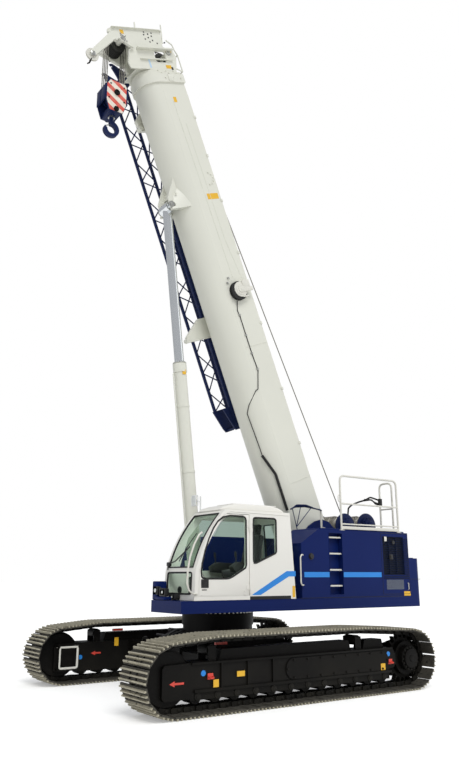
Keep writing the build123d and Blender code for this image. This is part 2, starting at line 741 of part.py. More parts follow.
def door_glass():
    pane = cab_prism(0, cab_outer_y - cab_wall / 2, cab_outer_y - cab_wall / 2 + glass_thickness)
    return pane & pane_of(door_window, cab_outer_y)


def seat():
    x, y = 150.0, (cab_inner_y + cab_outer_y) / 2
    z = cab_floor_z + cab_wall + seat_gap
    shapes = [
        block(x - 180, x + 180, y - 180, y + 180, z, z + 300),
        block(x - 260, x + 260, y - 250, y + 250, z + 290, z + 430),
        slab([(x - 260, z + 420), (x - 120, z + 420), (x - 260, z + 1080), (x - 380, z + 1080)], y - 230, y + 230),
    ]
    for a in (-1, 1):
        shapes.append(block(x - 150, x + 420, y + a * 240, y + a * 360, z + 380, z + 560))
    return joined(shapes)


def cab_fittings():
    """Lamp post at the deck's front corner, roof lamp, front lamp box and mirror."""
    x0, x1 = cab_front_x + 30, left_deck_front_x
    y, z = deck_inner_y, deck_top_z
    post = block(x0, x1, y, y + 130, z + seat_gap, z + 330)
    post += block(x1 - 60, x1, y + 120, y + 300, z + 240, z + 310)
    post += block(x1 - 90, x1, y + 120, y + 455, z + 70, z + 200)
    roof = cab_roof_z + seat_gap
    y = cab_inner_y + 150
    lamp = disc_z(770, y, 22, roof, roof + 120)
    lamp += block(750, 960, y - 70, y + 70, roof + 110, roof + 310)
    x = cab_front_x + seat_gap
    front = block(x, x + 120, cab_inner_y + 350, cab_inner_y + 560, cab_floor_z + 10, cab_floor_z + 95)
    return Compound(children=[post, lamp, front])


# ---------------------------------------------------------------- boom


def boom_face(width, depth):
    """Boom section: flat top and sides, full-round belly. Drawn in the YZ plane of the boom axes."""
    r = width / 2
    top = depth / 2
    knee = -depth / 2 + r
    lines = [
        Line((-r, knee), (-r, top)),
        Line((-r, top), (r, top)),
        Line((r, top), (r, knee)),
        ThreePointArc((r, knee), (0, -depth / 2), (-r, knee)),
    ]
    return make_face([Plane.YZ * edge for edge in lines])


def boom_solid(width, depth, s0, s1):
    return Pos(s0, 0, -boom_drop) * extrude(boom_face(width, depth), s1 - s0, dir=(1, 0, 0))


def boom_tube(index, s0, s1, wall=section_wall):
    """One hollow boom section; index 0 is the base section."""
    width = boom_width - index * section_step
    depth = boom_depth - index * section_step
    return boom_solid(width, depth, s0, s1) - boom_solid(width - 2 * wall, depth - 2 * wall, s0 - 5, s1 + 5)


def section_collar(index, s0, s1):
    """The stiffening collar round the open end of a section."""
    width = boom_width - index * section_step
    depth = boom_depth - index * section_step
    return boom_solid(width + 2 * collar_lip, depth + 2 * collar_lip, s0, s1) - boom_solid(
        width - 2 * section_wall, depth - 2 * section_wall, s0 - 5, s1 + 5)


def wear_pads(index, end):
    """Four pads in the mouth of a section, which guide the next one."""
    width = boom_width - index * section_step
    depth = boom_depth - index * section_step
    play = 2 * seat_gap
    ring = boom_solid(width - 2 * section_wall, depth - 2 * section_wall, end - 160, end - 20)
    ring -= boom_solid(width - section_step + play, depth - section_step + play, end - 165, end - 15)
    top = -boom_drop + depth / 2
    low = -boom_drop - depth / 2
    r = width / 2
    pads = []
    for a in (-1, 1):
        pads.append(ring & block(end - 170, end - 10, a * r * 0.35, a * r * 0.75, top - 80, top))
        pads.append(ring & block(end - 170, end - 10, a * r * 0.35, a * r * 0.75, low, low + r * 0.5))
    return [solid for pad in pads for solid in pad.solids()]


def boom_base():
    shapes = [boom_tube(0, boom_tail, base_end + collar_length), section_collar(0, base_end, base_end + collar_length)]
    for a in (-1, 1):
        shapes.append(disc_y(0, 0, foot_boss_radius, a * (boom_width / 2 - section_wall), a * (side_plate_inner - 5)))
    for a in (-1, 1):
        shapes.append(slab([
            (eye_s - 100, -boom_drop - 440), (eye_s + 600, -boom_drop - 440), (eye_s + 160, -eye_drop - 50),
            (eye_s - 100, -eye_drop - 50),
        ], a * clevis_half_gap, a * (clevis_half_gap + clevis_plate)))
    shapes.append(wedge())
    base = joined(shapes + wear_pads(0, base_end + collar_length))
    base -= disc_y(0, 0, foot_pin_radius + seat_gap, -500, 500)
    base -= disc_y(eye_s, -eye_drop, eye_pin_radius + seat_gap, -300, 300)
    return boom_place(base)


def wedge():
    """Hipped fairing that spreads the cylinder's bracket into the boom's sides, hollow over the rod's eye."""
    faces = []
    wide = boom_width / 2 - 10
    for s, low, half in wedge_sections:
        section = Polyline((-wide, -390), (wide, -390), (half, low), (-half, low), close=True)
        faces.append(Pos(eye_s + s, 0, 0) * make_face(Plane.YZ * section))
    shape = loft(faces) - boom_solid(boom_width - 10, boom_depth - 10, eye_s - 600, eye_s + 1000)
    return shape - block(eye_s - 120, eye_s + 220, -clevis_half_gap, clevis_half_gap, -1300, -600)


def boom_section(index):
    """An inner section, from inside the base to its collar."""
    start = 300.0 + 120 * index
    end = base_end + collar_length + index * collar_step
    shape = boom_tube(index, start, end)
    shape += section_collar(index, end - collar_step + 5, end)
    return boom_place(joined([shape] + wear_pads(index, end)))


def boom_top():
    """The top section with its head: cheeks, cross plates, shafts, posts, rope guard and the side arm."""
    index = 3
    start = 300.0 + 120 * index
    end = base_end + collar_length + index * collar_step
    shape = boom_tube(index, start, end + 60)
    head = end - collar_step + 5
    shape += section_collar(index, head, end)
    cheek = [
        (head, 180), (head + 360, 290), (head + 660, 210), (head + 700, -720), (head + 860, -785),
        (head + 930, -955), (head + 910, -1220), (head + 560, -1260), (head + 380, -1060), (head + 60, -850),
        (head, -600),
    ]
    w = head_half_y
    for a in (-1, 1):
        shape += slab(cheek, a * w, a * (w + head_plate))
        shape += block(head + 440, head + 470, a * (w + 20), a * (w + 90), -740, 230)
    for s0, s1, y, n0, n1 in (
        (head + 30, head + 60, w + 5, -820, 190),
        (head + 660, head + 685, w + 10, -725, 195),
    ):
        shape += block(s0, s1, -y, y, n0, n1)
    shape += slab([
        (head + 680, -725), (head + 845, -797), (head + 908, -957), (head + 928, -950), (head + 860, -782),
        (head + 685, -700),
    ], -w - 5, w + 5)
    for s, n, r in ((sheave_s, -sheave_drop, 55), (*idler_place, 45)):
        shape += disc_y(s, n, r, -w - 20, w + 20)
    for n in (-650, 30):
        shape += square_bar((head + 640, w + 15, n), (head + 1080, w + 15, n + 110), 28)
    for y in (-w - 15, w + 15):
        shape += square_bar((head + 420, y, 220), (head + 420, y, guard_n), 24)
        shape += square_bar((head - 40, y, guard_n), (head + 432, y, guard_n), 24)
        shape += square_bar((head + 60, y, 190), (head - 28, y, guard_n), 24)
    for s0 in (head + 420, head - 28):
        shape += square_bar((s0, -w - 27, guard_n), (s0, w + 27, guard_n), 24)
    for y in (w + head_plate - 1, w + 100):
        shape += slab(side_arm(head), y, y + 24)
    shape += disc_y(*side_sheave, 32, w + 20, w + 120)
    shape += block(head + 640, head + 680, w + 20, w + 120, -1260, -1200)
    return boom_place(shape)


def side_arm(head):
    """Outline of the arm that carries the single-line sheave beside the head."""
    s, n = side_sheave
    return [
        (head + 740, -1100), (head + 800, -1280), (s + 60, n - 60), (s - 50, n - 40), (s - 60, n + 40),
        (head + 560, -1180), (head + 600, -1060),
    ]


def head_sheaves():
    """Main head sheaves, the upper rope idler and the single-line sheave."""
    shapes = []
    for y in sheave_ys:
        shapes.append(disc_y(sheave_s, -sheave_drop, sheave_radius, y - sheave_width / 2, y + sheave_width / 2)
                      - disc_y(sheave_s, -sheave_drop, 55 + seat_gap, -400, 400))
    shapes.append(disc_y(*idler_place, idler_radius, -30, 30) - disc_y(*idler_place, 45 + seat_gap, -400, 400))
    y = head_half_y + 78
    shapes.append(disc_y(*side_sheave, 140, y - 20, y + 20) - disc_y(*side_sheave, 32 + seat_gap, y - 30, y + 30))
    return boom_place(Compound(children=shapes))


def ropes():
    """The falls between the head sheaves and the block's sheaves, straight down from their rims."""
    x, _, z = boom_point(sheave_s, 0, -sheave_drop)
    reach = sheave_radius + rope_radius + seat_gap
    shapes = []
    for y in sheave_ys:
        for a in (-1, 1):
            shapes.append(Pos(x + a * reach, y, z - block_drop / 2) * extrude(
                RegularPolygon(rope_radius, 8), block_drop / 2, both=True))
    return Compound(children=shapes)


def fly_jib():
    """Three-chord lattice extension stowed along the right side of the boom, with its fork and foot."""
    s0, s1 = jib_foot_s + 500, jib_fork_s
    shapes = []
    for y, n in jib_chords:
        middle = Pos((s0 + s1) / 2, y, n) * Rot(0, 90, 0)
        shapes.append(middle * extrude(RegularPolygon(jib_chord, 8), (s1 - s0) / 2, both=True))
    bays = 17
    step = (s1 - s0) / bays
    for i in range(bays):
        a, b = s0 + i * step, s0 + (i + 1) * step
        for j in range(3):
            (y0, n0), (y1, n1) = jib_chords[j], jib_chords[(j + 1) % 3]
            if i % 2:
                (y0, n0), (y1, n1) = (y1, n1), (y0, n0)
            shapes.append(square_bar((a, y0, n0), (b, y1, n1), 22))
    (yi, ni), (yo, no), (_, nl) = jib_chords
    shapes.append(block(jib_foot_s, jib_beam_end_s, yi - 35, yi + 30, ni - 60, ni + 45))
    for y, n0, n1 in ((yi, nl - 60, ni + 45), (yo, nl - 60, no + 50)):
        shapes.append(slab([
            (jib_foot_s, n1 - 60), (jib_foot_s + 520, n1), (jib_foot_s + 520, n0), (jib_foot_s, n0 + 160),
        ], y - 22, y + 22))
    shapes.append(block(jib_foot_s + 20, jib_foot_s + 60, yo, yi, nl + 150, ni))
    for y, n in ((yi, ni), (yo, no)):
        shapes.append(slab([
            (s1 - 120, n + 40), (s1 + 30, n + 20), (s1 + 330, -820), (s1 + 330, -900), (s1 + 30, nl - 60),
            (s1 - 120, nl - 40),
        ], y - 22, y + 22))
    for n in (ni, nl):
        shapes.append(block(s1 - 60, s1 - 10, yo, yi, n - 30, n + 30))
    return boom_place(joined(shapes))


def cable_reel():
    """Spring-wound cable drum on the left side of the base section, with its bracket."""
    y = boom_width / 2 + seat_gap
    shape = disc_y(reel_s, reel_n, reel_radius, y + 60, y + 150)
    shape += disc_y(reel_s, reel_n, reel_radius - 45, y + 150, y + 190)
    shape += block(reel_s - 90, reel_s + 200, y, y + 62, reel_n - 110, reel_n + 110)
    return boom_place(shape)


def jib_brackets():
    """Two thick plates on the right side of the base section, against the jib's inner chord."""
    y0 = jib_inner_y + jib_chord + seat_gap
    shapes = []
    for outline in jib_seats:
        s0 = outline[0][0]
        plate = slab([*outline, (s0, jib_seat_top)], y0, -boom_width / 2)
        for s, n in outline[:1]:
            plate += disc_y(s + 40, n - 20, 50, y0 + 5, -boom_width / 2 + 60)
        shapes.append(plate)
    return boom_place(Compound(children=shapes))


def luff_rod():
    a = boom_point(eye_s, 0, -eye_drop)
    b = (cylinder_foot_x, 0, cylinder_foot_z)
    length = sqrt((a[0] - b[0]) ** 2 + (a[2] - b[2]) ** 2)
    tilt = degrees(atan2(a[2] - b[2], a[0] - b[0]))
    shape = Pos(length - rod_length / 2, 0, 0) * Rot(0, 90, 0) * Cylinder(rod_radius, rod_length)
    shape += disc_y(length, 0, rod_eye_radius, -clevis_half_gap + 20, clevis_half_gap - 20)
    reach = clevis_half_gap + clevis_plate
    shape += disc_y(length, 0, eye_pin_radius, -reach, reach)
    return Pos(*b) * Rot(0, -tilt, 0) * shape


def luff_barrel():
    a = boom_point(eye_s, 0, -eye_drop)
    b = (cylinder_foot_x, 0, cylinder_foot_z)
    tilt = degrees(atan2(a[2] - b[2], a[0] - b[0]))
    shape = Pos(barrel_length / 2 + 60, 0, 0) * Rot(0, 90, 0) * Cylinder(barrel_radius, barrel_length - 120)
    shape += disc_y(0, 0, 160, -130, 130)
    shape += disc_y(0, 0, 75, 6 - lug_inner_y, lug_inner_y - 6)
    shape += Pos(barrel_length - 90, 0, 0) * Rot(0, 90, 0) * Cylinder(barrel_radius + 15, 180)
    bore = Pos(barrel_length / 2 + 260, 0, 0) * Rot(0, 90, 0) * Cylinder(rod_radius + gland_gap, barrel_length)
    shape -= bore
    return Pos(*b) * Rot(0, -tilt, 0) * shape


def hook_block():
    """Cheek plates, end plates, sheaves and the cross head that carries the hook."""
    x, _, z = boom_point(sheave_s, 0, -sheave_drop)
    w, y = block_half_x, block_half_y
    shapes = []
    for a in (-1, 1):
        shapes.append(slab([
            (x - w + 40, z - 980), (x + w - 70, z - 980), (x + w, z - 1100), (x + w, z - 1480), (x + 150, z - 1700),
            (x - 150, z - 1700), (x - w, z - 1480), (x - w, z - 1040),
        ], a * y, a * (y + 30)))
        shapes.append(block(x + a * w, x + a * (w + 20), -y - 30, y + 30, z - 1460, z - 1110))
        shapes.append(disc_y(x, z - 1640, 45, a * (y + 20), a * (y + 60)))
        shapes.append(disc_y(x, z - block_drop, 55, a * (y + 20), a * (y + 55)))
    shapes.append(block(x - 130, x + 130, -y - 5, y + 5, z - 1700, z - 1590))
    shapes.append(disc_y(x, z - block_drop, 55, -y - 20, y + 20))
    for centre in sheave_ys:
        shapes.append(disc_y(x, z - block_drop, sheave_radius, centre - sheave_width / 2, centre + sheave_width / 2))
    return joined(shapes) - disc_z(x, 0, shank_radius + seat_gap, z - 1710, z - 1580)


def hook():
    """Single hook with its shank; the throat opens to the front."""
    x, _, z = boom_point(sheave_s, 0, -sheave_drop)
    cz = z - hook_drop
    shank = disc_z(x, 0, shank_radius, cz + hook_outer - 30, z - 1600)
    bowl = make_face([Plane.XZ * edge for edge in hook_outline(x, cz)])
    solid = Pos(0, -hook_width / 2, 0) * extrude(bowl, hook_width, dir=(0, 1, 0))
    return shank + solid


def hook_outline(x, z):
    """Outline of the hook: a round back, a round throat and a blunt tip."""
    r, t = hook_outer, hook_throat
    return [
        Line((x - 45, z + r + 10), (x + 45, z + r + 10)),
        Line((x + 45, z + r + 10), (x + 30, z + t)),
        ThreePointArc((x + 30, z + t), (x - t, z), (x, z - t)),
        ThreePointArc((x, z - t), (x + t * 0.8, z - t * 0.6), (x + t, z)),
        Line((x + t, z), (x + t + 55, z + 45)),
        ThreePointArc((x + t + 55, z + 45), (x + r * 0.75, z - r * 0.72), (x, z - r)),
        ThreePointArc((x, z - r), (x - r, z), (x - 45, z + r + 10)),
    ]


def winch(x, z, radius):
    """A rope drum between flanges, on its shaft."""
    half = side_plate_inner - winch_side_gap
    drum = disc_y(x, z, radius, -half, half)
    for a in (-1, 1):
        drum += disc_y(x, z, radius + 60, a * (half - 25), a * half)
    reach = side_plate_inner - seat_gap
    return drum + disc_y(x, z, 60, -reach, reach)


def rope_lead():
    """The hoist rope from the main drum to the upper idler, cut where the upper, the boom and the head part."""
    a = radians(boom_elevation)
    drum_x, drum_z, drum_radius = winches["main_winch_drum"]
    dx, dz = drum_x - pivot_x, drum_z - pivot_z
    s0, n0 = dx * cos(a) + dz * sin(a), dz * cos(a) - dx * sin(a)
    s1, n1 = idler_place
    r0, r1 = (radius + rope_radius + seat_gap for radius in (drum_radius, idler_radius))
    span = hypot(s1 - s0, n1 - n0)
    turn = atan2(n1 - n0, s1 - s0) + acos(-(r0 + r1) / span)
    ms, mn = cos(turn), sin(turn)
    start = Vector(s0 - r0 * ms, 0, n0 - r0 * mn)
    end = Vector(s1 + r1 * ms, 0, n1 + r1 * mn)
    plane = Plane(origin=(start + end) * 0.5, x_dir=(0, 1, 0), z_dir=end - start)
    rope = plane * extrude(RegularPolygon(rope_radius, 8), (end - start).length / 2, both=True)
    inner = disc_y(0, 0, rope_split_radius - seat_gap, -100, 100)
    outer = disc_y(0, 0, rope_split_radius, -100, 100)
    head = block(rope_split_s, s1 + 500, -100, 100, -500, 1500)
    low = rope & inner
    middle = rope - outer - head
    top = rope & block(rope_split_s + seat_gap, s1 + 500, -100, 100, -500, 1500)
    return [boom_place(piece) for piece in (low, middle, top)]


def main():
    os.makedirs("parts", exist_ok=True)
    for name, side, arms in (("left", 1, left_arm_xs), ("right", -1, right_arm_xs)):
        save(f"track_{name}", track(side))
        save(f"idler_{name}", idler(side))
        save(f"sprocket_{name}", sprocket(side))
        save(f"rollers_{name}", rollers(side))
        save(f"side_frame_{name}", side_frame(side, arms))
    save("carbody", carbody())
    save("slew_ring", slew_ring())
    save("turntable", turntable())
    save("foot_pin", foot_pin())
    save("left_hood", left_hood())
    save("right_hood", right_hood())
    save("grilles", grilles())
    save("counterweight", counterweight())
    save("handrails", handrails())
    save("ladder", ladder())
    save("engine_block", engine_block())
    save("cab_shell", cab_shell())
    save("cab_door", cab_door())
    save("cab_glass", cab_glass())
    save("door_glass", door_glass())
    save("cab_fittings", cab_fittings())
    save("seat", seat())
    save("boom_base", boom_base())
    save("boom_second", boom_section(1))
    save("boom_third", boom_section(2))
    save("boom_top", boom_top())
    save("head_sheaves", head_sheaves())
    save("fly_jib", fly_jib())
    save("jib_brackets", jib_brackets())
    save("cable_reel", cable_reel())
    save("luff_rod", luff_rod())
    save("luff_barrel", luff_barrel())
    save("hook_block", hook_block())
    save("hook", hook())
    save("ropes", ropes())
    for name, piece in zip(("hoist_rope_low", "hoist_rope", "head_rope"), rope_lead()):
        save(name, piece)
    for name, (x, z, radius) in winches.items():
        save(name, winch(x, z, radius))


main()
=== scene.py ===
"""Looks for a telescopic-boom crawler crane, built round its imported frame.

Metres. +X is forward, +Y is the crane's left, +Z is up. Pieces on the boom are drawn in boom axes: X along the
boom from its foot pin, Z up from it, and are then turned to the boom's resting place.
"""

from math import atan2, cos, hypot, pi, radians, sin, sqrt, tan

import bpy
from mathutils import Matrix, Vector


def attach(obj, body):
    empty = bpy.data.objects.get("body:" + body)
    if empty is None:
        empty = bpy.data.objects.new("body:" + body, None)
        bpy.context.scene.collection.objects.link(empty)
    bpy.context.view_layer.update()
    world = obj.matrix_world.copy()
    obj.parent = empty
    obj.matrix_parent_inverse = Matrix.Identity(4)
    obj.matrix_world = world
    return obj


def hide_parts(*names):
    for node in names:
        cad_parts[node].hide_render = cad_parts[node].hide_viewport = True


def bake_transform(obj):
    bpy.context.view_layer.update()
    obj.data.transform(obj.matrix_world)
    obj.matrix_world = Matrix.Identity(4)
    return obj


bl_info = {
    "name": "Telescopic crawler crane",
    "version": (1, 0, 0),
    "blender": (4, 2, 0),
    "location": "3D View > Sidebar > Crane",
    "description": "Builds the visible pieces of a telescopic-boom crawler crane round its frame",
    "category": "Object",
}

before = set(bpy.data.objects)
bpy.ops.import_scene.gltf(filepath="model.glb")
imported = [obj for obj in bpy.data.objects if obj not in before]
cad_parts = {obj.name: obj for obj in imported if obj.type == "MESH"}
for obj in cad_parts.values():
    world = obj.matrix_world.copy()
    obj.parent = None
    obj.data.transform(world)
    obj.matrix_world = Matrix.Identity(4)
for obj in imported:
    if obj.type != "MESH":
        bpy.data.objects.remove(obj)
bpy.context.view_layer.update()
FOOT_PIN = (-2.35, 0, 2.87)
BOOM = Matrix.Translation(FOOT_PIN) @ Matrix.Rotation(radians(-68.3), 4, "Y")
SIDES = {"left": 1, "right": -1}


# ---------------------------------------------------------------- colours and sizes


def linear(code):
    """A colour's linear red, green and blue from its sRGB hex code."""
    parts = [int(code[i:i + 2], 16) / 255 for i in (1, 3, 5)]
    return tuple(c / 12.92 if c <= 0.04045 else ((c + 0.055) / 1.055) ** 2.4 for c in parts)


def colour(label, code, about):
    return bpy.props.FloatVectorProperty(name=label, description=about, subtype="COLOR", size=3, min=0, max=1,
                                         default=linear(code))


def length(label, value, about):
    return bpy.props.FloatProperty(name=label, description=about, default=value, min=0, unit="LENGTH", precision=4)


class CraneColours(bpy.types.PropertyGroup):
    """Colours of the crane's finishes."""

    body_blue: colour("Body blue", "#0E2059", "Two-pack enamel of the hoods, deck and counterweight")
    stripe_blue: colour("Stripe blue", "#1E86DD", "Film stripe along the cab and the left hood")
    boom_ivory: colour("Boom ivory", "#DEDED2", "Two-pack enamel of the boom and the cylinder")
    cab_ivory: colour("Cab ivory", "#EBE9E2", "Two-pack enamel of the cab")
    rail_cream: colour("Rail cream", "#DCDAD0", "Enamel of the handrails and rungs")
    chassis_black: colour("Chassis black", "#100F0E", "Satin enamel of the undercarriage")
    shoe_steel: colour("Shoe steel", "#B0AA96", "Rolled steel of the track shoes, dusted with dry soil")
    jib_navy: colour("Jib navy", "#17234C", "Enamel of the fly jib and the hook block")
    signal_red: colour("Signal red", "#D8483A", "Red enamel of lugs and of the hook block's stripes")
    plate_yellow: colour("Plate yellow", "#E9B52E", "Film of the blank plates")


class CraneSizes(bpy.types.PropertyGroup):
    """Sizes that a user may change."""

    rope: length("Rope diameter", 0.022, "Wire rope on the winches and in the falls")
    rail_tube: length("Rail tube", 0.042, "Outside diameter of the handrail tubes")
    seal: length("Window seal", 0.016, "Width of the rubber round each pane")
    grouser: length("Grouser height", 0.022, "Height of the bars on a track shoe")
    link_plate: length("Link plate", 0.05, "Thickness of one track link")
    lacing: length("Lacing tube", 0.028, "Outside diameter of the jib's lacing tubes")


class CraneStage(bpy.types.PropertyGroup):
    """Floor, light and camera."""

    floor: colour("Floor", "#F7F7F5", "Painted studio floor")
    floor_lift: bpy.props.FloatProperty(name="Floor lift", description="Glow of the floor, to the lens alone",
                                        default=0.3, min=0)
    key_power: bpy.props.FloatProperty(name="Key lamp", description="Strength of the main lamp", default=1.55,
                                       min=0)
    fill: bpy.props.FloatProperty(name="Fill", description="Strength of the room's light", default=0.52, min=0)
    lens: bpy.props.FloatProperty(name="Lens", description="Focal length", default=34.1, min=10, unit="CAMERA")


def colours():
    return bpy.context.scene.crane_colours


def sizes():
    return bpy.context.scene.crane_sizes


# ---------------------------------------------------------------- materials


def add(tree, kind, feeds=None, **settings):
    """Adds a node with its settings; feeds gives its inputs a socket or a value."""
    made = tree.nodes.new("ShaderNode" + kind)
    for key, value in settings.items():
        setattr(made, key, value)
    for key, value in (feeds or {}).items():
        if isinstance(value, bpy.types.NodeSocket):
            tree.links.new(value, made.inputs[key])
        else:
            made.inputs[key].default_value = value
    return made


def begin(name):
    """A new material's tree with its shader, output and Object coordinates."""
    material = bpy.data.materials.new(name)
    material.use_nodes = True
    tree = material.node_tree
    tree.nodes.clear()
    shader = add(tree, "BsdfPrincipled")
    add(tree, "OutputMaterial", {"Surface": shader.outputs[0]})
    return tree, shader, add(tree, "TexCoord").outputs["Object"]


def shade(rgb, factor):
    return tuple(min(1.0, c * factor) for c in rgb[:3]) + (1.0,)


def finish(name, rgb, roughness, metallic=0.0, mottle=0.08, patch=0.9, grain=0.004, bump=0.05, dust=None, coat=0.0,
           worn=None, ior=1.5):
    """A painted, cast or moulded surface.

    mottle is how far its tone drifts over patches of the given size in metres, grain the size of its fine texture,
    dust (colour, height, share) a film of dry soil that thins with height, and worn (colour, size, share) marks of
    rubbing.
    """
    tree, shader, place = begin(name)
    drift = add(tree, "TexNoise", {"Vector": place, "Scale": 1 / patch, "Detail": 4.0, "Roughness": 0.6})
    level = add(tree, "MapRange", {"Value": drift.outputs[0], 1: 0.3, 2: 0.7, 3: 0.0, 4: 1.0})
    tone = add(tree, "Mix", {0: level.outputs[0], 6: shade(rgb, 1 - mottle), 7: shade(rgb, 1 + mottle)},
               data_type="RGBA").outputs[2]
    fine = add(tree, "TexNoise", {"Vector": place, "Scale": 1 / grain, "Detail": 3.0})
    if worn:
        worn_rgb, size, share = worn
        spots = add(tree, "TexNoise", {"Vector": place, "Scale": 1 / size, "Detail": 6.0, "Roughness": 0.7})
        mask = add(tree, "MapRange", {"Value": spots.outputs[0], 1: 0.66 - share, 2: 0.72 - share, 3: 0.0, 4: 1.0})
        tone = add(tree, "Mix", {0: mask.outputs[0], 6: tone, 7: worn_rgb + (1.0,)}, data_type="RGBA").outputs[2]
    if dust:
        dust_rgb, height, share = dust
        rise = add(tree, "SeparateXYZ", {0: place})
        fade = add(tree, "MapRange", {"Value": rise.outputs[2], 1: 0.0, 2: height, 3: share, 4: 0.0})
        veil = add(tree, "Math", {0: fade.outputs[0], 1: level.outputs[0]}, operation="MULTIPLY")
        tone = add(tree, "Mix", {0: veil.outputs[0], 6: tone, 7: dust_rgb + (1.0,)}, data_type="RGBA").outputs[2]
    tree.links.new(tone, shader.inputs["Base Color"])
    gloss = add(tree, "MapRange", {"Value": drift.outputs[0], 1: 0.2, 2: 0.8, 3: roughness * 0.88,
                                   4: roughness * 1.12})
    tree.links.new(gloss.outputs[0], shader.inputs["Roughness"])
    relief = add(tree, "Bump", {"Height": fine.outputs[0], "Strength": bump, "Distance": grain * 0.5})
    tree.links.new(relief.outputs[0], shader.inputs["Normal"])
    shader.inputs["Metallic"].default_value = metallic
    shader.inputs["IOR"].default_value = ior
    shader.inputs["Coat Weight"].default_value = coat
    shader.inputs["Coat Roughness"].default_value = 0.12
    return tree, shader, place


SOIL = linear("#8F876F")


def make_materials():
    """Every finish of the crane, named for what it is."""
    c = colours()
    blue, ivory, cab = tuple(c.body_blue), tuple(c.boom_ivory), tuple(c.cab_ivory)
    # Two-pack polyurethane enamel, sprayed: deep colour under a clear film, faint orange peel.
    finish("polyurethane_enamel_blue", blue, 0.4, mottle=0.07, patch=1.6, grain=0.012, bump=0.04, ior=1.2)
    # The same enamel in ivory: soft sheen, tone drifting a little along large panels.
    finish("polyurethane_enamel_ivory", ivory, 0.42, mottle=0.025, patch=2.2, grain=0.014, bump=0.05)
    finish("polyurethane_enamel_cab", cab, 0.36, mottle=0.018, patch=1.4, grain=0.012, bump=0.04)
    finish("polyurethane_enamel_cream", tuple(c.rail_cream), 0.4, mottle=0.03, patch=0.5, grain=0.008, bump=0.05)
    # Navy enamel on rolled tube: satin, with fine dust on it.
    finish("polyurethane_enamel_navy", tuple(c.jib_navy), 0.42, mottle=0.1, patch=0.7, grain=0.01, bump=0.06,
           ior=1.25)
    # Chassis enamel: satin black over fabricated plate, dusted by the ground it works on.
    finish("chassis_enamel_black", tuple(c.chassis_black), 0.5, mottle=0.2, patch=0.8, grain=0.02, bump=0.12,
           dust=(SOIL, 1.1, 0.03), ior=1.2)
    # Rolled manganese-steel shoes: bright where rubbed, with random patches of dry soil.
    finish("rolled_steel_shoe", tuple(c.shoe_steel), 0.62, 0.25, mottle=0.16, patch=0.22, grain=0.012, bump=0.3,
           worn=(linear("#5A5546"), 0.06, 0.08))
    # The shoe plates between the bars: dull and dark, painted shade for the hollows between the bars, with darker
    # random spots.
    finish("soiled_shoe_plate", linear("#45423A"), 0.75, 0.1, mottle=0.25, patch=0.2, grain=0.012, bump=0.35,
           worn=(linear("#23211D"), 0.05, 0.12))
    # Forged link steel: dark and oily, with dry soil low down.
    finish("forged_steel_link", linear("#171614"), 0.6, 0.1, mottle=0.25, patch=0.15, grain=0.01, bump=0.2,
           dust=(SOIL, 0.9, 0.05), ior=1.25)
    # Turned and ground pins and bolts: bright grey with a tight highlight.
    finish("machined_steel", linear("#B9B9B4"), 0.28, 0.95, mottle=0.05, patch=0.1, grain=0.003, bump=0.05)
    # Hard-chromed cylinder rod: ground smooth, mirror-like under a thin oil film.
    finish("hard_chrome", linear("#DDE0E2"), 0.16, 0.9, mottle=0.02, patch=0.4, grain=0.003, bump=0.02)
    # Grey-iron sheaves: turned grooves, dull elsewhere.
    finish("grey_iron", linear("#3C3D3A"), 0.45, 0.5, mottle=0.1, patch=0.1, grain=0.006, bump=0.12)
    # Extruded EPDM rubber of seals and hose covers: matt black.
    finish("epdm_rubber", linear("#161616"), 0.7, mottle=0.1, patch=0.1, grain=0.003, bump=0.1)
    # Moulded ABS of consoles, lamps and boxes: fine-grained black.
    finish("moulded_abs", linear("#1B1B1C"), 0.5, mottle=0.06, patch=0.2, grain=0.003, bump=0.15)
    # Red enamel of the lashing lugs and arrows: half gloss, nearly even.
    finish("signal_red_enamel", tuple(c.signal_red), 0.4, mottle=0.1, patch=0.1, grain=0.006, bump=0.05)
    # Vinyl films: flat colour with a low sheen.
    finish("vinyl_film_yellow", tuple(c.plate_yellow), 0.45, mottle=0.05, patch=0.1, grain=0.01, bump=0.02)
    finish("vinyl_film_blue", tuple(c.stripe_blue), 0.4, mottle=0.03, patch=0.5, grain=0.01, bump=0.02)
    finish("vinyl_film_pale", linear("#B8D3EC"), 0.4, mottle=0.05, patch=0.1, grain=0.01, bump=0.02)
    # Moulded polycarbonate lens: pale, glossy, with a rippled face.
    finish("lamp_lens", linear("#D9DDDA"), 0.12, mottle=0.03, patch=0.05, grain=0.006, bump=0.2, coat=0.6)
    # Hot-dip galvanised wire: dull blue-grey.
    finish("galvanised_mesh", linear("#8D949C"), 0.45, 0.6, mottle=0.1, patch=0.05, grain=0.01, bump=0.4)
    # Pressed louvre sheet: blue powder coat drawn near-black, painted shade for the gaps between the blades.
    finish("louvre_powder_coat", linear("#131C33"), 0.55, mottle=0.12, patch=0.3, grain=0.006, bump=0.1, ior=1.2)
    # White powder coat of the roof lamp: even and smooth.
    finish("lamp_shell_white", linear("#E4E6E4"), 0.3, mottle=0.03, patch=0.2, grain=0.004, bump=0.06)
    wire_rope()
    striped_enamel()
    tinted_glass()
    seat_cloth()


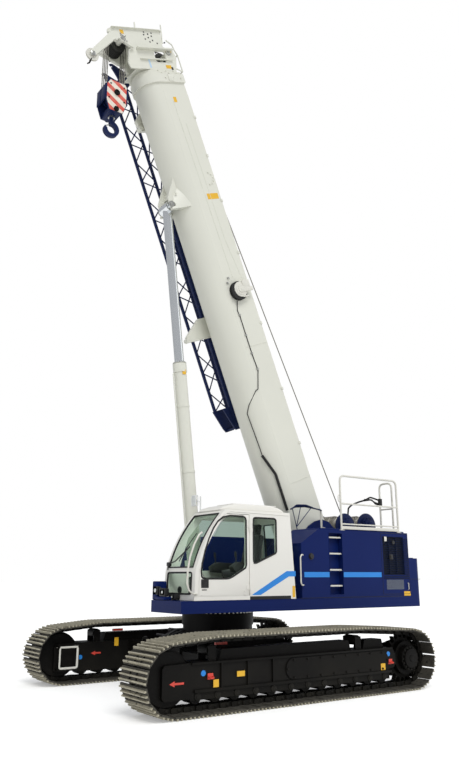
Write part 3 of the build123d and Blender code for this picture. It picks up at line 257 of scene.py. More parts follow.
def wire_rope():
    """Galvanised wire rope with grease in its lay: bands slant round the rope at the pitch of its strands."""
    tree, shader, place = begin("greased_wire_rope")
    lay = add(tree, "TexWave", {"Vector": place, "Scale": 18.0, "Distortion": 1.5, "Detail": 2.0},
              bands_direction="DIAGONAL")
    tone = add(tree, "Mix", {0: lay.outputs["Fac"], 6: linear("#4E4C48") + (1,), 7: linear("#A5A196") + (1,)},
               data_type="RGBA")
    tree.links.new(tone.outputs[2], shader.inputs["Base Color"])
    relief = add(tree, "Bump", {"Height": lay.outputs["Fac"], "Strength": 0.6, "Distance": 0.003})
    tree.links.new(relief.outputs[0], shader.inputs["Normal"])
    shader.inputs["Metallic"].default_value = 0.6
    shader.inputs["Roughness"].default_value = 0.45


def striped_enamel():
    """Red and cream bands on the hook block's cheeks, slanting at about 32 degrees, each some 100 mm wide."""
    tree, shader, place = begin("striped_enamel")
    axes = add(tree, "SeparateXYZ", {0: place})
    slant = add(tree, "Math", {0: axes.outputs[0], 1: -0.62, 2: axes.outputs[2]}, operation="MULTIPLY_ADD")
    turn = add(tree, "Math", {0: slant.outputs[0], 1: 1 / 0.235}, operation="MULTIPLY")
    part = add(tree, "Math", {0: turn.outputs[0], 1: 0.0}, operation="FRACT")
    band = add(tree, "Math", {0: part.outputs[0], 1: 0.47}, operation="GREATER_THAN")
    wear = add(tree, "TexNoise", {"Vector": place, "Scale": 9.0, "Detail": 5.0})
    drift = add(tree, "MapRange", {"Value": wear.outputs[0], 1: 0.35, 2: 0.75, 3: 0.0, 4: 0.35})
    tone = add(tree, "Mix", {0: band.outputs[0], 6: tuple(colours().signal_red) + (1,),
                             7: linear("#EDE6D8") + (1,)},
               data_type="RGBA")
    faded = add(tree, "Mix", {0: drift.outputs[0], 6: tone.outputs[2], 7: linear("#C9B7A6") + (1,)},
                data_type="RGBA")
    tree.links.new(faded.outputs[2], shader.inputs["Base Color"])
    shader.inputs["Roughness"].default_value = 0.4


def tinted_glass():
    """Toughened float glass with a green tint: clear, thin, with faint dust that roughens it in places."""
    tree, shader, place = begin("toughened_green_glass")
    smear = add(tree, "TexNoise", {"Vector": place, "Scale": 3.0, "Detail": 4.0})
    rough = add(tree, "MapRange", {"Value": smear.outputs[0], 1: 0.4, 2: 0.8, 3: 0.0, 4: 0.06})
    tree.links.new(rough.outputs[0], shader.inputs["Roughness"])
    tint = add(tree, "Mix", {0: smear.outputs[0], 6: linear("#DDEDE2") + (1,), 7: linear("#EAF4ED") + (1,)},
               data_type="RGBA")
    tree.links.new(tint.outputs[2], shader.inputs["Base Color"])
    rays = add(tree, "LightPath")
    clear = add(tree, "MapRange", {"Value": rays.outputs["Is Shadow Ray"], 1: 0.0, 2: 1.0, 3: 1.0, 4: 0.1})
    tree.links.new(clear.outputs[0], shader.inputs["Alpha"])
    shader.inputs["Transmission Weight"].default_value = 1.0
    shader.inputs["IOR"].default_value = 1.1


def seat_cloth():
    """Woven seat cloth: black twill, threads about 1 mm, drawn at 4 mm so that they show."""
    tree, shader, place = begin("woven_seat_cloth")
    weave = add(tree, "TexWave", {"Vector": place, "Scale": 120.0, "Distortion": 0.6}, bands_direction="DIAGONAL")
    tone = add(tree, "Mix", {0: weave.outputs["Fac"], 6: linear("#121214") + (1,), 7: linear("#2C2C30") + (1,)},
               data_type="RGBA")
    tree.links.new(tone.outputs[2], shader.inputs["Base Color"])
    relief = add(tree, "Bump", {"Height": weave.outputs["Fac"], "Strength": 0.4, "Distance": 0.002})
    tree.links.new(relief.outputs[0], shader.inputs["Normal"])
    shader.inputs["Roughness"].default_value = 0.85
    shader.inputs["Sheen Weight"].default_value = 0.3


# ---------------------------------------------------------------- modelling helpers


def only(*objects):
    """Leaves object mode on, with just these objects selected and the first one active."""
    if bpy.context.mode != "OBJECT":
        bpy.ops.object.mode_set(mode="OBJECT")
    bpy.ops.object.select_all(action="DESELECT")
    for item in objects:
        item.select_set(True)
    if objects:
        bpy.context.view_layer.objects.active = objects[0]
    return objects[0] if objects else None


def settle(item):
    """Puts the object's place into its mesh."""
    only(item)
    bpy.ops.object.transform_apply(location=True, rotation=True, scale=True)
    return item


def modify(item, kind, **settings):
    """Adds a modifier and applies it."""
    only(item)
    changed = item.modifiers.new(kind.lower(), kind)
    for key, value in settings.items():
        setattr(changed, key, value)
    bpy.ops.object.modifier_apply(modifier=changed.name)
    return item


def soften(item, width, segments=2):
    return modify(item, "BEVEL", width=width, segments=segments, limit_method="ANGLE", angle_limit=radians(32))


def block(lo, hi, bevel=0.006, segments=2):
    """A bevelled block between two corners."""
    only()
    size = [b - a for a, b in zip(lo, hi)]
    middle = [(a + b) / 2 for a, b in zip(lo, hi)]
    bpy.ops.mesh.primitive_cube_add(size=1, location=middle)
    item = bpy.context.object
    item.scale = size
    settle(item)
    return soften(item, min(bevel, 0.45 * min(abs(s) for s in size)), segments) if bevel else item


def on_face(x0, x1, y, out, z0, z1, bevel=0.006, segments=2):
    """A block on a face at y, standing out from it by a signed depth."""
    lo, hi = sorted((y, y + out))
    return block((x0, lo, z0), (x1, hi, z1), bevel, segments)


def turned(base, axis, profile, sides=24):
    """A lathe-turned piece: profile gives (distance along the axis, radius) from one end to the other."""
    only()
    bpy.ops.mesh.primitive_circle_add(vertices=sides, radius=profile[0][1], fill_type="NGON",
                                      location=(0, 0, profile[0][0]))
    item = settle(bpy.context.object)
    bpy.ops.object.mode_set(mode="EDIT")
    bpy.ops.mesh.select_all(action="SELECT")
    for (h0, r0), (h1, r1) in zip(profile, profile[1:]):
        bpy.ops.mesh.extrude_region_move(TRANSFORM_OT_translate={"value": (0, 0, h1 - h0)})
        bpy.ops.transform.resize(value=(r1 / r0, r1 / r0, 1), center_override=(0, 0, h1))
    bpy.ops.mesh.select_all(action="SELECT")
    bpy.ops.mesh.normals_make_consistent(inside=False)
    bpy.ops.object.mode_set(mode="OBJECT")
    item.matrix_world = Matrix.Translation(base) @ Vector(axis).to_track_quat("Z", "Y").to_matrix().to_4x4()
    return settle(item)


def plate(points, lo, hi, across="Y", bevel=0.004, segments=1):
    """A plate of an outline in X and Z (or X and Y for across Z, Y and Z for across X) from lo to hi."""
    only()
    bpy.ops.mesh.primitive_circle_add(vertices=len(points), radius=1, fill_type="NGON")
    item = bpy.context.object
    places = {"Y": lambda a, b: (a, lo, b), "Z": lambda a, b: (a, b, lo), "X": lambda a, b: (lo, a, b)}
    for vertex, (a, b) in zip(item.data.vertices, points):
        vertex.co = places[across](a, b)
    travel = {"Y": (0, hi - lo, 0), "Z": (0, 0, hi - lo), "X": (hi - lo, 0, 0)}[across]
    bpy.ops.object.mode_set(mode="EDIT")
    bpy.ops.mesh.select_all(action="SELECT")
    bpy.ops.mesh.extrude_region_move(TRANSFORM_OT_translate={"value": travel})
    bpy.ops.mesh.select_all(action="SELECT")
    bpy.ops.mesh.normals_make_consistent(inside=False)
    bpy.ops.object.mode_set(mode="OBJECT")
    return soften(item, bevel, segments) if bevel else item


def rounded(points, radius, steps=4, closed=True):
    """The corners of a 2-D or 3-D path, each turned into an arc."""
    path = [Vector(p) for p in points]
    out = []
    for i, corner in enumerate(path):
        if not closed and i in (0, len(path) - 1):
            out.append(tuple(corner))
            continue
        before, after = path[i - 1] - corner, path[(i + 1) % len(path)] - corner
        half = before.angle(after) / 2
        reach = min(radius / max(tan(half), 1e-3), 0.48 * before.length, 0.48 * after.length)
        a, b = corner + before.normalized() * reach, corner + after.normalized() * reach
        for k in range(steps + 1):
            t = k / steps
            out.append(tuple(a * (1 - t) ** 2 + corner * 2 * t * (1 - t) + b * t ** 2))
    return out


def tube(points, radius, bend=0.0, closed=False, sides=2, steps=4):
    """A round tube or bar along a path, its corners bent to a radius."""
    only()
    path = rounded(points, bend, steps, closed) if bend else [tuple(p) for p in points]
    bpy.ops.curve.primitive_nurbs_path_add()
    item = bpy.context.object
    curve = item.data
    curve.splines.clear()
    line = curve.splines.new("POLY")
    line.points.add(len(path) - 1)
    for point, place in zip(line.points, path):
        point.co = (*place, 1)
    line.use_cyclic_u = closed
    curve.dimensions = "3D"
    curve.bevel_depth = radius
    curve.bevel_resolution = sides
    curve.use_fill_caps = not closed
    item.location = (0, 0, 0)
    only(item)
    bpy.ops.object.convert(target="MESH")
    return bpy.context.object


def join(items):
    only(*items)
    if len(items) > 1:
        bpy.ops.object.join()
    return bpy.context.object


def copies(item, places):
    """Copies of a piece, each with its own mesh, at the given matrices, joined into one."""
    made = []
    for place in places:
        twin = item.copy()
        twin.data = item.data.copy()
        bpy.context.scene.collection.objects.link(twin)
        twin.data.transform(place)
        made.append(twin)
    bpy.data.objects.remove(item)
    return join(made)


def shift(x=0.0, y=0.0, z=0.0):
    return Matrix.Translation((x, y, z))


def cut(item, *tools):
    """Cuts the tools' shapes out of a piece."""
    for tool in tools:
        modify(item, "BOOLEAN", object=tool, operation="DIFFERENCE", solver="EXACT")
        bpy.data.objects.remove(tool)
    return item


def bolt_heads(places, axis, across=0.024, height=0.014):
    """Hexagon heads on washers, one at each place."""
    washer = turned((0, 0, 0), (0, 0, 1), [(0, across * 0.72), (0.003, across * 0.72)], 12)
    head = turned((0, 0, 0.003), (0, 0, 1), [(0, across / 2 / cos(pi / 6)),
                                             (height * 0.8, across / 2 / cos(pi / 6)),
                                             (height, across * 0.45)], 6)
    turn = Vector(axis).to_track_quat("Z", "Y").to_matrix().to_4x4()
    return copies(join([washer, head]), [Matrix.Translation(p) @ turn for p in places])


def done(item, name, body, material, slot, at=None, smooth=35, replaces=()):
    """Names a finished piece, gives it its finish and hangs it on its body."""
    if at is not None:
        item.matrix_world = at
    settle(item)
    item.name = item.data.name = name
    item.data.materials.clear()
    item.data.materials.append(bpy.data.materials[material])
    bpy.ops.object.shade_smooth_by_angle(angle=radians(smooth))
    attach(item, body)
    if replaces:
        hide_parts(*replaces)
    return item


# Finish and paint slot of the pieces that share them.
IVORY = ("polyurethane_enamel_ivory", "boom_paint")
RUBBER = ("epdm_rubber", "seat_plastic")
MOULDED = ("moulded_abs", "seat_plastic")
BLUE = ("polyurethane_enamel_blue", "blue_paint")
STEEL = ("machined_steel", "boom_paint")
CREAM = ("polyurethane_enamel_cream", "rail_paint")
FORGED = ("forged_steel_link", "chassis_paint")
RED = ("signal_red_enamel", "chassis_paint")
CAB = ("polyurethane_enamel_cab", "cab_paint")
CLOTH = ("woven_seat_cloth", "seat_plastic")
ROPE = ("greased_wire_rope", "rope_wire")
NAVY = ("polyurethane_enamel_navy", "navy_paint")
YELLOW = ("vinyl_film_yellow", "boom_paint")
BLACK = ("chassis_enamel_black", "chassis_paint")
HOOD_PLASTIC = ("moulded_abs", "blue_paint")


class CraneOperator:
    """What the crane's operators share."""

    bl_options = {"REGISTER", "UNDO"}


# ---------------------------------------------------------------- finishes of the frame's own nodes

NODE_FINISHES = [  # finish, nodes
    ("chassis_enamel_black", ("carbody", "slew_ring", "idler_left", "idler_right", "sprocket_left",
                              "sprocket_right",
                              "rollers_left", "rollers_right", "side_frame_left", "side_frame_right")),
    ("polyurethane_enamel_blue", ("turntable", "left_hood", "right_hood", "counterweight")),
    ("polyurethane_enamel_ivory", ("boom_base", "boom_second", "boom_third", "jib_brackets", "luff_barrel")),
    ("polyurethane_enamel_cab", ("cab_shell",)),
    ("polyurethane_enamel_navy", ("hook_block", "hook")),
    ("toughened_green_glass", ("cab_glass", "door_glass")),
    ("engine_iron_rough", ("engine_block",)),
    ("machined_steel", ("foot_pin",)),
    ("hard_chrome", ("luff_rod",)),
]


class CRANE_OT_finishes(CraneOperator, bpy.types.Operator):
    """Makes the finishes and gives one to every node that stays in view"""

    bl_idname = "crane.finishes"
    bl_label = "Finishes"

    def execute(self, context):
        make_materials()
        # Sand-cast iron of the engine: rough, dark and dull.
        finish("engine_iron_rough", linear("#3B3B3A"), 0.7, 0.3, grain=0.01, bump=0.3)
        for material, nodes in NODE_FINISHES:
            for name in nodes:
                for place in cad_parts[name].material_slots:
                    place.material = bpy.data.materials[material]
        return {"FINISHED"}


# ---------------------------------------------------------------- crawlers

TRACK_Y = 2.07
IDLER_X, SPROCKET_X, WHEEL_Z, WHEEL_R = 2.38, -2.73, 0.53, 0.508
CARRIER_XS = (1.6, -1.5)
CARRIER_Z, CARRIER_R = 0.896, 0.212
PIN_DEPTH = 0.07
SHOE_PITCH = 0.216
SHOE_HALF = 0.4
FRAME_HALF = 0.19  # from a track's middle to the faces of its side frame
ROLLER_XS = [1.88 - i * 3.96 / 11 for i in range(12)]


def belt(circles):
    """A belt round circles, anticlockwise as (x, z, radius): its length, and the function that walks along it."""
    count = len(circles)
    normals = []
    for i in range(count):
        (x1, z1, r1), (x2, z2, r2) = circles[i], circles[(i + 1) % count]
        k = (r1 - r2) / hypot(x2 - x1, z2 - z1)
        normals.append(atan2(z2 - z1, x2 - x1) - atan2(sqrt(1 - k * k), k))
    pieces = []
    for i in range(count):
        (x, z, r), (x2, z2, r2) = circles[i], circles[(i + 1) % count]
        turn = (normals[i] - normals[i - 1]) % (2 * pi)
        pieces.append((r * turn, lambda d, x=x, z=z, r=r, a=normals[i - 1]: (x + r * cos(a + d / r),
                                                                              z + r * sin(a + d / r))))
        a = normals[i]
        p, q = Vector((x + r * cos(a), z + r * sin(a))), Vector((x2 + r2 * cos(a), z2 + r2 * sin(a)))
        pieces.append(((q - p).length, lambda d, p=p, q=q: tuple(p + (q - p).normalized() * d)))
    total = sum(size for size, _ in pieces)

    def at(distance):
        distance %= total
        for size, place in pieces:
            if distance <= size:
                return place(distance)
            distance -= size
        return pieces[-1][1](pieces[-1][0])

    return total, at


def shoe_places(y):
    """Where each shoe stands: between two track pins, its outside away from the loop."""
    circles = [(IDLER_X, WHEEL_Z, WHEEL_R - PIN_DEPTH)]
    circles += [(x, CARRIER_Z, CARRIER_R - PIN_DEPTH) for x in CARRIER_XS]
    circles += [(SPROCKET_X, WHEEL_Z, WHEEL_R - PIN_DEPTH)]
    total, at = belt(circles)
    count = round(total / SHOE_PITCH)
    places = []
    for i in range(count):
        (x1, z1), (x2, z2) = at(i * total / count), at((i + 1) * total / count)
        turn = atan2(z2 - z1, x2 - x1)
        places.append(shift((x1 + x2) / 2, y, (z1 + z2) / 2) @ Matrix.Rotation(pi - turn, 4, "Y"))
    return total / count, places


def track_shoe(pitch):
    """Rolled shoe plate with a turned-down leading lip."""
    top, half = PIN_DEPTH - 0.01, pitch / 2 - 0.002
    outline = [(-half, top - 0.026), (half - 0.012, top - 0.016), (half, top - 0.024), (half, top), (-half, top)]
    return plate(outline, -SHOE_HALF, SHOE_HALF, bevel=0)


def shoe_bars(pitch):
    """The three bars of a shoe, rubbed bright by the ground, against a plate darkened with painted shade."""
    top, tip = PIN_DEPTH - 0.011, PIN_DEPTH + sizes().grouser
    return join([plate([(x - 0.015, top), (x - 0.009, tip), (x + 0.009, tip), (x + 0.015, top)], -0.399, 0.399,
                       bevel=0)
                 for x in (0.36 * pitch, 0.03 * pitch, -0.3 * pitch)])


def track_link(pitch):
    """Two offset link plates with their pin, as seen from the side and between the shoes."""
    half = pitch / 2
    items = []
    for side in (-1, 1):
        for x0, x1, y in ((-0.02, half + 0.034, 0.101), (-half - 0.034, 0.02, 0.076)):
            outline = [(x0, -0.026), (x0 + 0.02, -0.034), (x1 - 0.02, -0.034), (x1, -0.02), (x1, 0.02),
                       (x1 - 0.03, 0.046), (x0 + 0.03, 0.046), (x0, 0.026)]
            items.append(plate(outline, side * y, side * (y + sizes().link_plate / 2), bevel=0))
    items.append(turned((half, -0.136, 0), (0, 1, 0), [(0, 0.018), (0.002, 0.022), (0.27, 0.022), (0.272, 0.018)],
                        10))
    return join(items)


class CRANE_OT_tracks(CraneOperator, bpy.types.Operator):
    """Two loops of bolted triple-bar shoes on link chains"""

    bl_idname = "crane.tracks"
    bl_label = "Track shoes and chains"

    def execute(self, context):
        for name, side in SIDES.items():
            pitch, places = shoe_places(side * TRACK_Y)
            body = "crawler_" + name
            # The plates between the bars are darkened with painted shade.
            done(copies(track_shoe(pitch), places), "track_shoes_" + name, body, "soiled_shoe_plate", "track_steel",
                 replaces=["track_" + name])
            done(copies(shoe_bars(pitch), places), "shoe_bars_" + name, body, "rolled_steel_shoe", "track_steel")
            done(copies(track_link(pitch), places), "track_chain_" + name, body, "forged_steel_link", "track_steel")
            spots = [(x, y, PIN_DEPTH - 0.01) for x in (-0.13 * pitch, 0.2 * pitch) for y in (-0.1, 0.1)]
            heads = bolt_heads(spots, (0, 0, 1), 0.026, 0.012)
            done(copies(heads, places), "track_bolts_" + name, body, "forged_steel_link", "track_steel")
        return {"FINISHED"}


def ring_of(centre, radius, count):
    """Places round a circle in the XZ plane, for bolts that face left or right."""
    x, y, z = centre
    return [(x + radius * cos(2 * pi * i / count), y, z + radius * sin(2 * pi * i / count)) for i in range(count)]


def lug(x, y, z, out):
    """Forged eye: a ring through a welded pad, for a lashing hook."""
    pad = on_face(x - 0.05, x + 0.05, y, out * 0.02, z - 0.045, z + 0.045, 0.008)
    eye = tube([(x - 0.035, y, z), (x - 0.035, y + out * 0.07, z - 0.02), (x + 0.035, y + out * 0.07, z - 0.02),
                (x + 0.035, y, z)], 0.013, 0.03)
    return join([pad, eye])


class CRANE_OT_crawlers(CraneOperator, bpy.types.Operator):
    """Bolts, hub covers, lugs, plates and steps of the two side frames"""

    bl_idname = "crane.crawlers"
    bl_label = "Side frame details"

    def execute(self, context):
        for name, side in SIDES.items():
            self.frame_side(name, side)
        return {"FINISHED"}

    def frame_side(self, name, side):
        body = "crawler_" + name
        face = side * (TRACK_Y + FRAME_HALF)
        cover = side * (TRACK_Y + 0.208)
        out = (0, side, 0)
        spots = [(x, cover, z) for x in [-2.03 + i * 0.2929 for i in range(8)] for z in (0.395, 0.665)]
        spots += [(-2.165, cover, 0.53), (0.155, cover, 0.53)]
        spots += ring_of((SPROCKET_X, side * (TRACK_Y + 0.235), WHEEL_Z), 0.19, 16)
        spots += ring_of((IDLER_X, side * (TRACK_Y + 0.15), WHEEL_Z), 0.085, 8)
        done(bolt_heads(spots, out, 0.03, 0.018), f"frame_bolts_{name}", body, *FORGED)
        hub = turned((SPROCKET_X, side * (TRACK_Y + 0.26), WHEEL_Z), out,
                     [(0, 0.168), (0.012, 0.166), (0.02, 0.15), (0.02, 0.06), (0.03, 0.055), (0.034, 0.03)], 40)
        done(hub, f"final_drive_cover_{name}", body, *BLACK)
        ledges = []
        for z0, z1, x0, x1 in ((0.315, 0.36, -2.25, 1.95), (0.71, 0.742, -2.3, 2.0)):
            ledges.append(on_face(x0, x1, face, side * 0.035, z0, z1))
        for x in (0.45, 0.95, 1.45):
            ledges.append(on_face(x, x + 0.02, face, side * 0.03, 0.36, 0.71))
        done(join(ledges), f"frame_ledges_{name}", body, *BLACK)
        caps = turned((0, 0, 0), out, [(0, 0.058), (0.012, 0.055), (0.016, 0.03), (0.022, 0.028)], 20)
        done(copies(caps, [shift(x, face, 0.262) for x in ROLLER_XS]), f"roller_caps_{name}", body, *FORGED)
        lugs = join([lug(x, face, z, side) for x, z in ((1.66, 0.53), (-2.24, 0.5))])
        done(lugs, f"lashing_lugs_{name}", body, *RED)
        arrow = [(2.2, 0.45), (2.36, 0.45), (2.36, 0.425), (2.45, 0.465), (2.36, 0.505), (2.36, 0.48), (2.2, 0.48)]
        film = plate([(x - 0.08, z) for x, z in arrow], face, face + side * 0.0015, bevel=0)
        done(film, f"frame_arrow_{name}", body, *RED)
        films = []
        for x0, x1, z0, z1 in ((1.51, 1.61, 0.37, 0.48), (1.02, 1.17, 0.49, 0.57), (-2.1, -1.99, 0.37, 0.48)):
            films.append(on_face(x0, x1, cover, side * 0.002, z0, z1, 0))
        done(join(films), f"frame_plates_{name}", body, "vinyl_film_yellow", "chassis_paint")
        dots = [turned((x, face, z), out, [(0, 0.042), (0.003, 0.042)], 24) for x,
                z in ((1.78, 0.58), (-2.21, 0.63))]
        done(join(dots), f"frame_dots_{name}", body, "vinyl_film_blue", "chassis_paint")
        self.inner_face(name, side)
        self.step(name, side)

    def inner_face(self, name, side):
        """Plate, arrow, lug and film dot on the side that looks at the carbody."""
        y = side * (TRACK_Y - FRAME_HALF)
        body = "crawler_" + name
        done(on_face(1.14, 1.23, y, -side * 0.002, 0.64, 0.8, 0), "inner_plate_" + name, body, "vinyl_film_yellow",
             "chassis_paint")
        arrow = [(1.52, 0.515), (1.64, 0.515), (1.64, 0.49), (1.73, 0.53), (1.64, 0.57), (1.64, 0.545),
                 (1.52, 0.545)]
        film = plate(arrow, y, y - side * 0.0015, bevel=0)
        pad = on_face(1.08, 1.29, y, -side * 0.06, 0.93, 0.97, 0)
        done(join([film, pad]), "inner_arrow_" + name, body, *RED)
        dot = turned((1.95, y, 0.47), (0, -side, 0), [(0, 0.042), (0.003, 0.042)], 24)
        done(dot, "inner_dot_" + name, body, "vinyl_film_blue", "chassis_paint")

    def step(self, name, side):
        y = side * (TRACK_Y - FRAME_HALF)
        inner = y - side * 0.135
        x0, x1, z0, z1 = 2.07, 2.43, 0.3, 0.68
        path = [(x0, y, z1), (x0, inner, z1), (x0, inner, z0), (x1, inner, z0), (x1, inner, z1), (x1, y, z1)]
        bars = [tube(path, 0.022, 0.04), tube([(x0, inner, z1), (x1, inner, z1)], 0.022)]
        done(join(bars), f"access_step_{name}", "crawler_" + name, "polyurethane_enamel_cream", "chassis_paint")


class CRANE_OT_carbody(CraneOperator, bpy.types.Operator):
    """Ring bolts and seal, axle cylinders, hydraulic pipes and beam bolts of the carbody"""

    bl_idname = "crane.carbody"
    bl_label = "Carbody details"

    def execute(self, context):
        ring = [(0.645 * cos(2 * pi * i / 48), 0.645 * sin(2 * pi * i / 48), 1.325) for i in range(48)]
        done(bolt_heads(ring, (0, 0, 1), 0.034, 0.022), "ring_bolts", "carbody", "machined_steel", "chassis_paint")
        grease = turned((0, 0, 1.345), (0, 0, 1), [(0, 0.652), (0.004, 0.66), (0.012, 0.66), (0.016, 0.65)], 64)
        done(grease, "ring_seal", "carbody", "epdm_rubber", "chassis_paint")
        pipes = []
        for a in (-1, 1):
            for y in (-0.35, -0.15, 0.2):
                pipes.append(tube([(a * 0.5, y, 1.02), (a * 0.7, y, 1.0), (a * 1.16, y, 0.81), (a * 1.16, y, 0.79)],
                                  0.012, 0.05))
        done(join(pipes), "carbody_pipes", "carbody", "epdm_rubber", "chassis_paint")
        rods = [tube([(0.52, -0.6, 0.97), (0.52, -0.92, 0.97)], 0.045),
                tube([(0.8, -0.6, 0.9), (0.8, -0.92, 0.9)], 0.02)]
        rods += [tube([(-0.55, 0.6, 0.95), (-0.55, 0.92, 0.95)], 0.045)]
        done(join(rods), "axle_cylinders", "carbody", "moulded_abs", "chassis_paint")
        bolts = [(a * 1.252, y, z) for a in (-1, 1) for y in (-0.5, -0.25, 0, 0.25, 0.5) for z in (0.42, 0.7)]
        front = [p for p in bolts if p[0] > 0]
        rear = [p for p in bolts if p[0] < 0]
        items = [bolt_heads(front, (1, 0, 0), 0.03, 0.018), bolt_heads(rear, (-1, 0, 0), 0.03, 0.018)]
        done(join(items), "beam_bolts", "carbody", *FORGED)
        return {"FINISHED"}


# ---------------------------------------------------------------- cab

CAB_Y0, CAB_Y1 = 0.45, 1.45
DOOR_WINDOW = [(1.305, 1.985), (1.315, 2.07), (1.29, 2.22), (1.24, 2.41), (1.165, 2.61), (1.075, 2.79),
               (0.985, 2.91),
               (0.87, 2.99), (0.72, 3.022), (0.44, 3.022), (0.39, 3.0), (0.372, 2.95), (0.37, 2.18), (0.39, 2.13),
               (0.65, 1.99), (0.73, 1.957), (0.8, 1.95), (1.22, 1.95), (1.28, 1.96)]
SCREEN_ARC = ((0.82, 3.13), (1.18, 2.66), (1.43, 2.06))
REAR_WINDOW = [(0.215, 3.01), (-0.31, 3.01), (-0.31, 2.4), (0.215, 2.19)]


def arc_x(z):
    """How far forward the curved windscreen stands at a height: the circle through its three points."""
    (x1, z1), (x2, z2), (x3, z3) = SCREEN_ARC
    a, b = x1 * x1 + z1 * z1, x2 * x2 + z2 * z2
    c = x3 * x3 + z3 * z3
    d = 2 * (x1 * (z2 - z3) + x2 * (z3 - z1) + x3 * (z1 - z2))
    cx = (a * (z2 - z3) + b * (z3 - z1) + c * (z1 - z2)) / d
    cz = (a * (x3 - x2) + b * (x1 - x3) + c * (x2 - x1)) / d
    r = hypot(x1 - cx, z1 - cz)
    return cx + sqrt(max(r * r - (z - cz) ** 2, 0))


def screen_path(y, z0, z1, count, out=0.0):
    """Points up the windscreen at one side."""
    return [(arc_x(z0 + (z1 - z0) * i / count) + out, y, z0 + (z1 - z0) * i / count) for i in range(count + 1)]


class CRANE_OT_cab(CraneOperator, bpy.types.Operator):
    """Seals, stripe, latch, wiper, roof cap and lamps of the cab"""

    bl_idname = "crane.cab"
    bl_label = "Cab outside"

    def execute(self, context):
        seal = sizes().seal
        side = CAB_Y1 - 0.004
        door = tube([(x, side, z) for x, z in DOOR_WINDOW], seal, 0.03, closed=True, sides=3)
        done(door, "door_window_seal", "cab_door", *RUBBER)
        self.door_panel()
        rear = tube([(x, side, z) for x, z in REAR_WINDOW], seal, 0.06, closed=True, sides=3)
        done(rear, "rear_side_seal", "upper", *RUBBER)
        y0, y1 = CAB_Y0 + 0.09, CAB_Y1 - 0.11
        loop = screen_path(y0, 2.14, 3.06, 10) + list(reversed(screen_path(y1, 2.14, 3.06, 10)))
        screen = tube(loop, seal, 0, closed=True, sides=3)
        lower = tube([(arc_x(2.06), y0, 2.05), (1.445, y0, 1.7), (1.445, y1, 1.7), (arc_x(2.06), y1, 2.05)], seal,
                     0.05,
                     closed=True, sides=3)
        back = tube([(-0.745, 0.6, 2.3), (-0.675, 0.6, 2.95), (-0.675, 1.3, 2.95), (-0.745, 1.3, 2.3)], seal, 0.06,
                    closed=True, sides=3)
        done(join([screen, lower, back]), "screen_seals", "upper", *RUBBER)
        stripe = [(-0.75, 1.985), (-0.59, 1.985), (0.06, 1.67), (0.26, 1.67), (-0.54, 2.08), (-0.75, 2.08)]
        done(plate(stripe, CAB_Y1, CAB_Y1 + 0.0015, bevel=0), "cab_stripe", "upper", "vinyl_film_blue", "cab_paint")
        skirt = block((-0.63, CAB_Y1 - 0.03, 1.592), (0.296, CAB_Y1 + 0.002, 1.65), 0.002)
        done(skirt, "cab_skirt", "upper", *RUBBER)
        self.latch()
        self.roof()
        self.wipers()
        return {"FINISHED"}

    def latch(self):
        box = block((1.165, CAB_Y1 - 0.01, 1.8), (1.315, CAB_Y1 + 0.012, 1.94), 0.03, 4)
        pocket = block((1.185, CAB_Y1 + 0.004, 1.83), (1.295, CAB_Y1 + 0.02, 1.915), 0.02, 3)
        paddle = block((1.2, CAB_Y1 + 0.004, 1.85), (1.28, CAB_Y1 + 0.016, 1.895), 0.004)
        box = cut(box, pocket)
        strip = block((1.2, CAB_Y1 - 0.004, 1.76), (1.3, CAB_Y1 + 0.004, 1.775), 0.002)
        done(join([box, paddle, strip]), "door_latch", "cab_door", *MOULDED)
        film = block((-0.73, CAB_Y1, 1.62), (-0.665, CAB_Y1 + 0.002, 1.82), 0)
        done(film, "cab_plate", "upper", "vinyl_film_yellow", "cab_paint")
        y = CAB_Y1 + 0.055
        grab = tube([(-0.9, CAB_Y1, 2.37), (-0.9, y, 2.37), (-0.86, y, 2.38), (-0.83, y, 2.33), (-0.83, y, 1.87),
                     (-0.86, y, 1.83), (-0.9, y, 1.83), (-0.9, CAB_Y1, 1.83)], 0.013, 0.03)
        front = tube([(1.31, CAB_Y1, 2.71), (1.335, CAB_Y1 + 0.03, 2.71), (1.385, CAB_Y1 + 0.03, 2.67),
                      (1.48, CAB_Y1 + 0.03, 2.51), (1.56, CAB_Y1 + 0.03, 2.3), (1.6, CAB_Y1 + 0.03, 2.08),
                      (1.61, CAB_Y1 + 0.03, 1.88), (1.57, CAB_Y1 + 0.03, 1.76), (1.5, CAB_Y1 + 0.03, 1.71),
                      (1.4, CAB_Y1 + 0.01, 1.7)], 0.016, 0.06, sides=3)
        done(join([grab, front]), "grab_handles", "upper", "polyurethane_enamel_cream", "cab_paint")

    def door_panel(self):
        """Pressed door skin with its window opening, hinge leaves and barrels, and edge fixings."""
        rise = [1.72 + 0.11 * i for i in range(12)]
        edge = [(min(arc_x(z) - 0.08, 1.352), z) for z in rise]
        outline = [(0.309, 1.655), (1.352, 1.655)] + edge + [(0.8, 3.05), (0.309, 3.05)]
        panel = plate(outline, CAB_Y1 - 0.06, CAB_Y1, bevel=0.006, segments=2)
        opening = plate(rounded(DOOR_WINDOW, 0.03, 2), CAB_Y1 - 0.1, CAB_Y1 + 0.05, bevel=0)
        items = [cut(panel, opening)]
        for z in (1.8, 2.86):
            items.append(block((0.306, CAB_Y1 - 0.001, z - 0.04), (0.37, CAB_Y1 + 0.008, z + 0.04), 0.004))
            items.append(turned((0.303, CAB_Y1 + 0.019, z - 0.045), (0, 0, 1), [
                (0, 0.014), (0.004, 0.018), (0.086, 0.018), (0.09, 0.014)], 16))
        items.append(bolt_heads([(x, CAB_Y1, 1.69) for x in (0.42, 1.3)] + [(0.42, CAB_Y1, 1.74)], (0, 1, 0), 0.016,
                                0.006))
        done(join(items), "door_skin", "cab_door", *CAB, replaces=["cab_door"])

